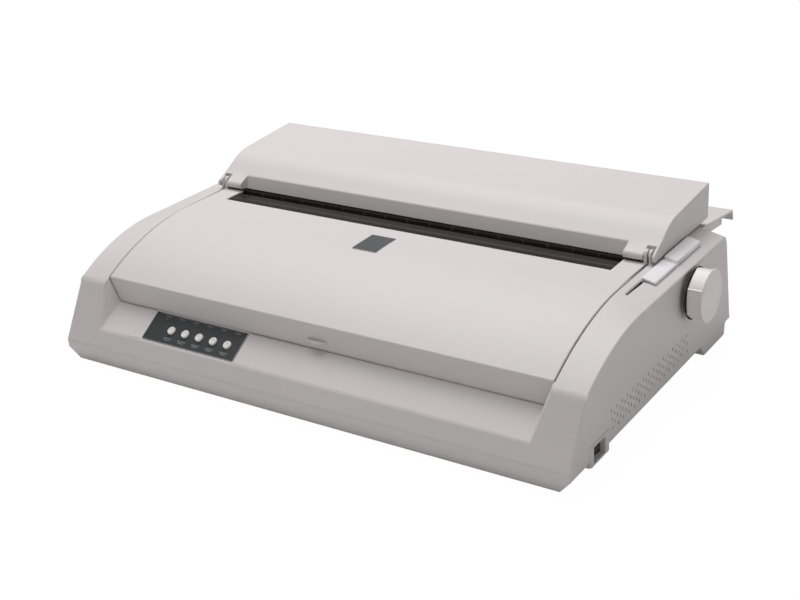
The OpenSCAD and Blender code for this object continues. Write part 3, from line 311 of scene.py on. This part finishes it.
case_plastic = moulded_plastic("case_plastic", (0.70, 0.665, 0.66))
shell("upper_case", "case_top", "case", "case_plastic", case_plastic, 1.6, top_edges)
shell("lower_case", "case_tray", "case", "case_plastic", case_plastic, 1.0, tray_edges)

# ---------------------------------------------------------------- feet and screws
# Four round black rubber feet pressed into the tray, and the plated screws that hold the two shells.


def skin(name, rings):
    """A closed surface over rings of points, in the case's frame.

    rings[i, j] is point j of ring i; each ring joins the next by four-sided faces, and one flat face
    closes each end. The rings run anticlockwise as seen from where the surface ends."""
    rows, columns = rings.shape[:2]
    i, j = np.meshgrid(np.arange(rows - 1), np.arange(columns), indexing="ij")
    a, b = i * columns + j, i * columns + (j + 1) % columns
    sides = np.stack([a, b, b + columns, a + columns], axis=-1).reshape(-1, 4)
    ends = [list(range(columns))[::-1], list(range((rows - 1) * columns, rows * columns))]
    mesh = bpy.data.meshes.new(name)
    mesh.from_pydata(to_row(rings.reshape(-1, 3)).tolist(), [], sides.tolist() + ends)
    return mesh


def joined(name, meshes):
    """One mesh that holds several."""
    form = bmesh.new()
    for mesh in meshes:
        form.from_mesh(mesh)
        bpy.data.meshes.remove(mesh)
    mesh = bpy.data.meshes.new(name)
    form.to_mesh(mesh)
    form.free()
    return mesh


def turned(profile, axis, centre, count=64):
    """Rings of a turned form: for each (place along the x or z axis, radius) a circle about it."""
    profile = np.asarray(profile, dtype=float)
    angle = np.linspace(0, 2 * np.pi, count, endpoint=False)
    along = np.repeat(profile[:, :1], count, axis=1)
    first, second = profile[:, 1:] * np.cos(angle), profile[:, 1:] * np.sin(angle)
    columns = (along, first, second) if axis == "x" else (first, second, along)
    return np.stack(columns, axis=-1) + np.asarray(centre, dtype=float)


def rubber(name, colour=(0.018, 0.018, 0.019), roughness=0.72, speckle=700.0):
    """Rubber: nearly black, with fine specks that vary its roughness and raise its surface a little."""
    material = plain_material(name, colour, roughness)
    tree = material.node_tree
    specks = noise(tree, speckle)
    vary_roughness(tree, specks, roughness - 0.12, roughness + 0.1)
    raise_surface(tree, specks, 0.15)
    return material


def rolled_metal(name, colour, roughness=0.35, stretch=(1, 12, 12), scale=60.0, mottle=0.12):
    """Sheet or bar metal: noise drawn out along one direction varies its tone and roughness."""
    material = plain_material(name, colour, roughness, 1.0)
    tree = material.node_tree
    streaks = noise(tree, scale, 5.0, stretch)
    dark, pale = [c * (1 - mottle) for c in colour], [min(1, c * (1 + mottle)) for c in colour]
    vary_colour(tree, streaks, dark, pale)
    vary_roughness(tree, streaks, roughness - 0.08, roughness + 0.12)
    return material


def dress(material, *names):
    """Gives CAD nodes one material."""
    for name in names:
        mesh = nodes[name].data
        mesh.materials.clear()
        mesh.materials.append(material)


FOOT_PROFILE = [(0.0, 6.6), (0.05, 7.4), (0.35, 7.95), (0.6, 8.0), (0.62, 8.7), (0.9, 9.0), (2.6, 9.0),
                (3.0, 8.8)]
FOOT_PLACES = [(-232, 34, 0), (-232, 302, 0), (232, 34, 0), (232, 302, 0)]
STEEL_GREY = (0.55, 0.56, 0.58)
feet_mesh = joined("feet", [skin("foot", turned(FOOT_PROFILE, "z", place)) for place in FOOT_PLACES])
even_normals(feet_mesh)
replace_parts(add_piece("feet", feet_mesh, "case", rubber("foot_rubber")), "rubber_feet")
dress(rolled_metal("plated_screw", STEEL_GREY, 0.3), "case_screws")

# ---------------------------------------------------------------- front cover
# Hinged lid of the same plastic over the print carriage, with a finger tab at its front edge; a smoked
# acrylic tear-off window is held along its rear lip and a bare dark plate is let into its top.
shell("front_cover", "cover_front", "front_lid", "cover_plastic", case_plastic, 0.9)


def smoked_acrylic(name, colour=(0.022, 0.018, 0.012)):
    """Tinted acrylic: dark brown and glossy, with a trace of fine scratches along it in its gloss."""
    material = plain_material(name, colour, 0.06)
    tree = material.node_tree
    shader = tree.nodes["Principled BSDF"]
    shader.inputs["Transmission Weight"].default_value = 0.25
    shader.inputs["Specular IOR Level"].default_value = 0.2
    shader.inputs["IOR"].default_value = 1.49
    vary_roughness(tree, noise(tree, 90.0, stretch=(1, 14, 14)), 0.04, 0.14)
    return material


# The window's rear edge stands higher than in the solid, just in front of the scale strip
WINDOW_FRONT, WINDOW_DEPTH, WINDOW_RISE = 190, 21, 4.8
shell("smoked_window", "paper_window", "front_lid", "smoked_window", smoked_acrylic("smoked_acrylic"), 0.3,
      drop=lambda x, y, z: -WINDOW_RISE * (y - WINDOW_FRONT) / WINDOW_DEPTH)

# The plate: it sits in its pocket, follows the cover's slope and has a rounded upper edge
BADGE_MIDDLE, BADGE_TILT = (-7.0, 153.0, 110.8), math.radians(1.2)
BADGE_W, BADGE_L, BADGE_CORNER = 26.0, 34.0, 1.2
BADGE_STEPS = [(-0.7, 0), (0.1, 0), (0.24, 0.06), (0.3, 0.22), (0.3, 1.2), (0.22, 1.35)]


def rounded_outline(width, length, corner, count=8):
    """Points of a rectangle with round corners: four quarter circles about its inner corners."""
    angle = np.linspace(0, np.pi / 2, count)
    turns = angle[None, :] + np.arange(4)[:, None] * np.pi / 2
    middle = np.array([(1, 1), (-1, 1), (-1, -1), (1, -1)]) * (width / 2 - corner, length / 2 - corner)
    points = middle[:, None, :] + corner * np.stack([np.cos(turns), np.sin(turns)], axis=-1)
    return points.reshape(-1, 2)


def plate_rings(width, length, corner, steps, least_corner=0.05):
    """Rings of a flat plate with round corners: for each (height, inset) its outline drawn in."""
    rings = []
    for height, inset in steps:
        outline = rounded_outline(width - 2 * inset, length - 2 * inset, max(corner - inset, least_corner))
        rings.append(np.column_stack([outline, np.full(len(outline), height)]))
    return np.array(rings)


badge = plate_rings(BADGE_W, BADGE_L, BADGE_CORNER, BADGE_STEPS)
tilt = np.array(Matrix.Rotation(BADGE_TILT, 3, "X"))
badge_mesh = skin("badge", badge @ tilt.T + BADGE_MIDDLE)
even_normals(badge_mesh)
badge_grey = moulded_plastic("badge_grey", (0.075, 0.08, 0.086), 0.38, 0.05)
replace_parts(add_piece("badge", badge_mesh, "front_lid", badge_grey), "badge_plate")

# ---------------------------------------------------------------- rear cover and paper guide
# The hood over the tractors turns on steel pins in its two rounded noses; behind it a sloping moulded
# shelf hooks into the case and leads the paper in.
HINGE_Y, HINGE_Z, BORE_ROOM = 220, 118, 4
HOOD_DROP, HOOD_EDGE_Y, HOOD_BLEND, HOOD_FLOOR_Z, NOSE_BLEND = 3.7, 227, 38, 112, 14.5
EAR_GAP_INSIDE, EAR_GAP_OUTSIDE, EAR_GAP_END_Y, SHELF_EDGE_Y = 232, 243.5, 228, 335


def hood_drop(x, y, z):
    """How far the hood's front edge and noses lie below the solid's; the pins' bores stay.

    It grows in a straight line from nothing at the hood's floor, and fades out behind the front edge
    as three times a square less twice a cube."""
    if math.hypot(y - HINGE_Y, z - HINGE_Z) < BORE_ROOM:
        return 0
    behind = min(max((y - HOOD_EDGE_Y) / HOOD_BLEND, 0), 1)
    above = min(max((z - HOOD_FLOOR_Z) / NOSE_BLEND, 0), 1)
    return HOOD_DROP * (1 - behind * behind * (3 - 2 * behind)) * above


def hood_edges(x, y, z):
    """Edges of the hood that are rounded: all but those in the gaps that the hinge ears stand in."""
    return not (EAR_GAP_INSIDE < abs(x) < EAR_GAP_OUTSIDE and y < EAR_GAP_END_Y)


shell("rear_cover", "cover_rear", "rear_lid", "cover_plastic", case_plastic, 1.2, hood_edges, drop=hood_drop)
shell("rear_paper_guide", "paper_shelf", "case", "guide_plastic", case_plastic, 0.8,
      lambda x, y, z: y > SHELF_EDGE_Y)
steel = rolled_metal("ground_steel", STEEL_GREY, 0.24, (1, 30, 30), 40.0, 0.06)
dress(steel, "hinge_pins")

# ---------------------------------------------------------------- operator panel
# A satin dark-grey film on the ledge with five white oval keys, six small lamps above them and fine
# printed guide lines; a small circuit board behind it carries the switches.
NOSE_RISE, NOSE_SLOPE, LEDGE_Z, LEDGE_RISE, LEDGE_BACK = 15, math.radians(60.5), 36, 19, 38.6
LEDGE_FRONT = NOSE_RISE / math.tan(NOSE_SLOPE)
LEDGE_ANGLE = math.atan(LEDGE_RISE / (LEDGE_BACK - LEDGE_FRONT))


def on_ledge(points):
    """Points drawn on the ledge, x as in the case, y up its slope and z out of it, in the case's frame."""
    points = np.asarray(points, dtype=float)
    up, out = points[..., 1], points[..., 2]
    back = LEDGE_FRONT + up * math.cos(LEDGE_ANGLE) - out * math.sin(LEDGE_ANGLE)
    high = LEDGE_Z + up * math.sin(LEDGE_ANGLE) + out * math.cos(LEDGE_ANGLE)
    return np.stack([points[..., 0], back, high], axis=-1)


dress(moulded_plastic("panel_film", (0.030, 0.036, 0.039), 0.4, 0.12, 0.0005), "operator_panel")

# Keys: a dark stadium-shaped foot level with the film carries an oval cap with a slightly hollow top
KEYS, KEY_X, KEY_PITCH, KEY_Y = 5, -151.1, 16.7, 16.9
STADIUM_W, STADIUM_L, CAP_SHARE = 7.9, 10.9, 1.04
STADIUM_STEPS = [(-5.5, -0.8), (-4.5, -0.8), (-4.49, 0), (0.12, 0), (0.2, 0.1), (0.2, 1.5)]
CAP_STEPS = [(-0.5, 3.95), (0.1, 3.95), (1.3, 3.95), (1.75, 3.85), (2.05, 3.55), (2.18, 3.1), (2.12, 2.5),
             (1.95, 1.7), (1.85, 0.8)]
key_white = moulded_plastic("key_white", (0.84, 0.825, 0.77), 0.4, 0.05)
key_dark = moulded_plastic("key_dark", (0.022, 0.026, 0.028), 0.45, 0.1, 0.0005)


def oval_rings(steps, share, count=48):
    """Rings of an oval: the cosine and the sine of the turn, times a radius that goes with the height.

    The sine, which points up the ledge, is also multiplied by the share."""
    turn = np.linspace(0, 2 * np.pi, count, endpoint=False)
    return np.stack([np.column_stack([r * np.cos(turn), share * r * np.sin(turn), np.full(count, z)])
                     for z, r in steps])


for number in range(KEYS):
    place = (KEY_X + number * KEY_PITCH, KEY_Y, 0)
    stadium = plate_rings(STADIUM_W, STADIUM_L, STADIUM_W / 2, STADIUM_STEPS)
    foot_mesh = skin("foot", on_ledge(stadium + place))
    cap_mesh = skin("cap", on_ledge(oval_rings(CAP_STEPS, CAP_SHARE) + place))
    even_normals(foot_mesh)
    even_normals(cap_mesh)
    foot = add_piece(f"key_foot_{number + 1}", foot_mesh, f"key_{number + 1}", key_dark)
    cap = add_piece(f"key_cap_{number + 1}", cap_mesh, f"key_{number + 1}", key_white)
    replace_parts(foot, f"button_{number + 1}")
    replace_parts(cap, f"button_{number + 1}")

# Lamps: short clear rods with domed ends that show dark when they are off, spaced as the keys are,
# the first of them a part of that spacing to the left of the first key
LAMPS, LAMP_SHIFT, LAMP_Y = 6, 0.76, 27.3
LAMP_X = [KEY_X + (number - LAMP_SHIFT) * KEY_PITCH for number in range(LAMPS)]
LAMP_PROFILE = [(-9, 1.0), (-6, 1.0), (-5.99, 1.25), (0.25, 1.25), (0.42, 1.1), (0.54, 0.75), (0.6, 0.3)]
lamps = [skin("lamp", on_ledge(turned(LAMP_PROFILE, "z", (x, LAMP_Y, 0), 24))) for x in LAMP_X]
lamps_mesh = joined("lamps", lamps)
even_normals(lamps_mesh)
lamp_clear = plain_material("lamp_clear", (0.03, 0.045, 0.035), 0.15)
lamp_clear.node_tree.nodes["Principled BSDF"].inputs["Coat Weight"].default_value = 0.6
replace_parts(add_piece("panel_lamps", lamps_mesh, "case", lamp_clear), "led_windows")

# Printed guide lines: pale bars a few hundredths of a millimetre thick on the film, each given by its
# left, right, lower and upper edge: two under each key, one over each lamp, one along the top
INK_LOW, INK_HIGH = 0.19, 0.225
bars = []
for number in range(KEYS):
    x = KEY_X + number * KEY_PITCH
    bars += [(x - 4.6, x + 4.6, 8.3, 8.75), (x - 3.2, x + 3.2, 6.4, 6.8)]
bars += [(x - 3.0, x + 3.0, 30.6, 31.0) for x in LAMP_X]
bars += [(-174.5, -75.0, 32.5, 32.7)]
bars = np.array(bars)
corners = np.stack([bars[:, [0, 2]], bars[:, [1, 2]], bars[:, [1, 3]], bars[:, [0, 3]]], axis=1)
levels = [np.full((len(bars), 4, 1), high) for high in (INK_LOW, INK_HIGH)]
bar_rings = np.stack([np.concatenate([corners, level_z], axis=2) for level_z in levels], axis=1)
lines_mesh = joined("panel_lines", [skin("bar", on_ledge(rings)) for rings in bar_rings])
even_normals(lines_mesh)
panel_ink = moulded_plastic("panel_ink", (0.42, 0.43, 0.41), 0.5, 0.02)
add_piece("panel_lines", lines_mesh, "case", panel_ink)


def board_green(name):
    """Fibreglass board: a glossy green lacquer, a little cloudy, over the faint grain of its cloth."""
    material = moulded_plastic(name, (0.025, 0.11, 0.045), 0.35, 0.2, 0.0009)
    shader = material.node_tree.nodes["Principled BSDF"]
    shader.inputs["Coat Weight"].default_value = 0.4
    return material


green_board = board_green("green_board")
dress(green_board, "panel_board", "main_board")

# ---------------------------------------------------------------- platen
# A ground black rubber roller on a steel shaft that runs in two plastic bushings; a white moulded knob
# with six finger faces is pressed on its right end and a gear on its left.
PLATEN_Y, PLATEN_Z, PLATEN_R = 235.0, 83.0, 18.0
roller = [(-213, 5.1), (-213, 16.6), (-212.6, 17.5), (-211.8, PLATEN_R), (211.8, PLATEN_R), (212.6, 17.5),
          (213, 16.6), (213, 5.1)]
roller_mesh = skin("roller", turned(roller, "x", (0, PLATEN_Y, PLATEN_Z), 128))
even_normals(roller_mesh)
platen_rubber = rubber("platen_rubber", (0.03, 0.03, 0.031), 0.62, 450.0)
roller_piece = add_piece("platen_rubber", roller_mesh, "platen", platen_rubber)
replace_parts(roller_piece, "platen_roller")
dress(steel, "platen_shaft")
nylon = moulded_plastic("nylon", (0.72, 0.70, 0.64), 0.42, 0.04)
dress(nylon, "platen_gear", "platen_bushings")

KNOB_R, KNOB_FACES, KNOB_RIDGE, KNOB_COUNT = 24.3, 6, math.radians(31), 360
FACE_SINK, FACE_DIP, RIDGE_WIDTH, RIM_INSET, HUB_INSET = 0.5, 0.05, math.radians(1.7), 0.15, 15.1


def knob_outline(angle):
    """Radius of the grip: domed faces between narrow ridges.

    It is the full radius at a ridge. Between ridges it is half a millimetre less, and less again by a
    twentieth of the full radius times a parabola over the face."""
    step = 2 * np.pi / KNOB_FACES
    place = np.mod(angle - KNOB_RIDGE, step)
    near = np.minimum(place, step - place)
    dip = FACE_SINK + FACE_DIP * KNOB_R * (1 - (2 * place / step - 1) ** 2)
    return KNOB_R - dip * (1 - np.exp(-((near / RIDGE_WIDTH) ** 4)))


# Its steps from the wall outwards: the hub, the grip and the round rim, each with its x and its inset
grip_angle = np.linspace(0, 2 * np.pi, KNOB_COUNT, endpoint=False)
grip, rim = knob_outline(grip_angle), np.full(KNOB_COUNT, KNOB_R - RIM_INSET)
knob_steps = [(271.2, rim, HUB_INSET), (276.1, rim, HUB_INSET), (276.15, grip, 0.9), (276.4, grip, 0.4),
              (276.9, grip, 0), (289.0, grip, 0), (289.3, rim, 0.1), (289.5, rim, 0), (290.2, rim, 0.05),
              (290.65, rim, 0.3), (290.9, rim, 0.75), (291.0, rim, 1.3), (291.0, rim, 4.0)]
radii = np.array([outline - inset for _, outline, inset in knob_steps])
along = np.repeat(np.array([[x] for x, _, _ in knob_steps]), KNOB_COUNT, axis=1)
across, high = PLATEN_Y + radii * np.cos(grip_angle), PLATEN_Z + radii * np.sin(grip_angle)
knob_mesh = skin("knob", np.stack([along, across, high], axis=-1))
even_normals(knob_mesh)
knob_white = moulded_plastic("knob_white", (0.84, 0.80, 0.795), 0.4, 0.05)
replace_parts(add_piece("knob", knob_mesh, "platen", knob_white), "platen_knob")

# Behind the grip sits a thin black ring of painted shade: it stands for the shadow in the narrow gap between
# the knob and the wall, seen as a dark line there
painted_shade_black = rubber("painted_shade_black", (0.008, 0.008, 0.009), 0.95, 900.0)
shade_ring_profile = [(275.2, 9.3), (275.2, 23.7), (275.35, 23.9), (275.9, 23.9), (276.05, 23.7), (276.05, 9.3)]
shade_ring_mesh = skin("painted_shade_ring", turned(shade_ring_profile, "x", (0, PLATEN_Y, PLATEN_Z), 128))
even_normals(shade_ring_mesh)
add_piece("knob_painted_shade", shade_ring_mesh, "platen", painted_shade_black)

# ---------------------------------------------------------------- paper feed
# A stepping motor turns the platen's gear through one idler, and a second idler passes the turn on to
# the hexagonal tractor shaft; rubber rollers press the paper to the platen, and a black scale strip
# stands across the slot behind it.
dress(nylon, "lower_idler_gear", "upper_idler_gear", "sprocket_left", "sprocket_right")
dress(steel, "tractor_drive_shaft", "tractor_rail")
dress(rubber("press_rubber", (0.02, 0.02, 0.021), 0.66), "pressure_rollers")
dress(rolled_metal("brass", (0.72, 0.53, 0.24), 0.26), "feed_pinion", "drive_pulley")
motor_black = moulded_plastic("motor_black", (0.02, 0.02, 0.022), 0.38, 0.06)
dress(motor_black, "feed_motor", "carriage_motor")
zinc = rolled_metal("zinc_plate", (0.50, 0.51, 0.52), 0.38, (1, 1, 1), 26.0, 0.16)
dress(zinc, "paper_pan")


def scale_metal(name):
    """Black anodised strip: fine pale ticks every tenth of an inch, longer at each inch.

    The strip's x is divided by the tick's spacing; where the rest is small it is pale, from the upper
    edge down to a height that is less at every tenth tick."""
    inch, black, pale = 0.0254, (0.06, 0.055, 0.05), (0.5, 0.47, 0.42)
    material = plain_material(name, black, 0.4, 0.2)
    tree = material.node_tree
    place = tree.nodes.new("ShaderNodeTexCoord")
    split = tree.nodes.new("ShaderNodeSeparateXYZ")
    tree.links.new(place.outputs["Object"], split.inputs[0])

    def calculate(operation, *terms):
        """A Math node; each term is a socket or a number."""
        step = tree.nodes.new("ShaderNodeMath")
        step.operation = operation
        for slot, term in zip(step.inputs, terms):
            if isinstance(term, (int, float)):
                slot.default_value = term
            else:
                tree.links.new(term, slot)
        return step.outputs[0]

    def comb(spacing, width, foot):
        """Pale where x lies within a width of a multiple of the spacing and z is over a height."""
        rest = calculate("PINGPONG", split.outputs["X"], spacing / 2)
        near = calculate("LESS_THAN", rest, width / 2)
        return calculate("MULTIPLY", near, calculate("GREATER_THAN", split.outputs["Z"], foot))

    ticks = calculate("MAXIMUM", comb(inch / 10, 0.0005, 0.1088), comb(inch, 0.0007, 0.1068))
    vary_colour(tree, ticks, black, pale)
    return material


dress(scale_metal("scale_metal"), "scale_bar")

# ---------------------------------------------------------------- tractors
# Two tractors slide on the round rail and are driven by the hexagonal shaft; each has a lid over its
# pin wheel and a red lever that locks it on the rail.
black_plastic = moulded_plastic("black_plastic", (0.028, 0.028, 0.031), 0.45, 0.1)
for side in ("left", "right"):
    shell(f"tractor_{side}", f"tractor_body_{side}", f"{side}_tractor", "tractor_plastic",
          black_plastic, 0.5)
    shell(f"tractor_door_{side}", f"tractor_lid_{side}", f"{side}_door", "tractor_plastic",
          black_plastic, 0.4)
dress(moulded_plastic("lock_red", (0.32, 0.045, 0.035), 0.42), "lock_lever_left", "lock_lever_right")

# ---------------------------------------------------------------- paper lever
# A long white sliding bar on the right rail, stepped in its middle, whose stem passes through a slot in
# the rail to the pressure rollers' release.
LEVER_X, LEVER_W, LEVER_Y, LEVER_LEN, LEVER_CORNER = 246.5, 13.0, 184.0, 102.0, 1.1
SEAM_X, SEAM_Z, RAIL_W, RAIL_FALL = 239, 111, 31, 7
STEM_LEFT, STEM_RIGHT, STEM_FRONT, STEM_BACK, STEM_LOW, STEM_HIGH = 247.0, 248.4, 184, 197, 97.2, 109.8


def rail_top(x):
    """Height of the right rail at an x: a straight slope from the covers' seam to the side wall."""
    return SEAM_Z - (x - SEAM_X) * RAIL_FALL / RAIL_W


def lever_ring(y, low, high, inset):
    """One cross section of the bar, standing on the rail's slope, with rounded upper corners."""
    left, right_side, soft = LEVER_X + inset, LEVER_X + LEVER_W - inset, LEVER_CORNER
    angle = np.linspace(0, np.pi / 2, 5)
    across, up = soft * np.cos(angle), soft * np.sin(angle)
    right_corner = np.column_stack([right_side - soft + across, high - soft + up])
    left_corner = np.column_stack([left + soft - up, high - soft + across])
    outline = np.vstack([[(right_side, low)], right_corner, left_corner, [(left, low)]])
    x, over_rail = outline[:, 0], outline[:, 1]
    return np.column_stack([x, np.full(len(outline), y), rail_top(x) + over_rail])


# Its steps from the back to the front: y, lower and upper face over the rail, and inset
front, back, middle_y = LEVER_Y, LEVER_Y + LEVER_LEN, LEVER_Y + LEVER_LEN / 2 - 2
bar_steps = [(back, 1.2, 3.9, 0.9), (back - 0.4, 0.8, 4.4, 0.3), (back - 1.1, 0.7, 4.6, 0),
             (middle_y + 0.9, 0.7, 4.6, 0), (middle_y + 0.3, 0.7, 4.4, 0.1), (middle_y, 0.7, 4.0, 0.1),
             (middle_y - 0.05, 0.7, 1.5, 0.3), (middle_y - 1.2, 0.7, 1.5, 0.3), (middle_y - 4.6, 0.7, 2.9, 0),
             (middle_y - 5.2, 0.7, 3.0, 0), (front + 1.1, 0.7, 3.0, 0), (front + 0.4, 0.8, 2.8, 0.3),
             (front, 1.2, 2.4, 0.9)]
bar_mesh = skin("bar", np.array([lever_ring(*step) for step in bar_steps]))
stem = np.array([[(STEM_LEFT, STEM_BACK, z), (STEM_LEFT, STEM_FRONT, z), (STEM_RIGHT, STEM_FRONT, z),
                  (STEM_RIGHT, STEM_BACK, z)] for z in (STEM_LOW, STEM_HIGH)])
lever_mesh = joined("lever", [bar_mesh, skin("stem", stem)])
even_normals(lever_mesh)
lever_white = moulded_plastic("lever_white", (0.92, 0.91, 0.925), 0.38, 0.05)
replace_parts(add_piece("lever", lever_mesh, "paper_release", lever_white), "paper_lever")

# ---------------------------------------------------------------- print carriage
# A black carriage on a ground rod and a folded rail holds the finned print head; a toothed belt round
# two pulleys pulls it from side to side.
dress(steel, "carriage_rod")
dress(zinc, "carriage_rail")
shell("carriage", "carriage_body", "print_carriage", "carriage_plastic", black_plastic, 0.6)
dress(moulded_plastic("head_black", (0.022, 0.022, 0.024), 0.34, 0.25, 0.0012), "print_head")
dress(nylon, "idler_pulley")
dress(rubber("belt_rubber", (0.016, 0.016, 0.017), 0.6, 900.0), "drive_belt")

# ---------------------------------------------------------------- ribbon
# A snap-in black cartridge across the whole width with a winding knob; its two arms stretch the inked
# nylon ribbon in front of the platen.
shell("ribbon_cartridge", "ribbon_box", "case", "cartridge_plastic", black_plastic, 0.8)
shell("ribbon_knob", "ribbon_winding_knob", "ribbon_winder", "gear_plastic", nylon, 0.35)
dress(rubber("inked_nylon", (0.008, 0.008, 0.012), 0.85, 2600.0), "ribbon_band")

# ---------------------------------------------------------------- frame
# The chassis, of zinc-plated pressed steel: a base plate with the logic board's standoffs, two side
# plates that carry every shaft, and a channel-shaped bar across the front.
dress(zinc, "base_frame", "side_frames", "front_crossbar")

# ---------------------------------------------------------------- electronics and sockets
# The mains supply with its transformer and heat sink stands beside the logic board on the base plate;
# their sockets look out of the rear wall, and the rocker switch out of the right one.
dress(zinc, "power_supply")
shell("power_inlet", "mains_inlet", "case", "black_plastic", black_plastic, 0.5)
shell("interface_socket", "data_socket", "case", "black_plastic", black_plastic, 0.5)
switch_black = moulded_plastic("switch_black", (0.02, 0.02, 0.022), 0.28, 0.04)
shell("power_switch", "rocker_switch", "rocker", "switch_plastic", switch_black, 0.8)

# ---------------------------------------------------------------- finish
# Colours are shown as they are written.
scene.view_settings.view_transform = "Standard"
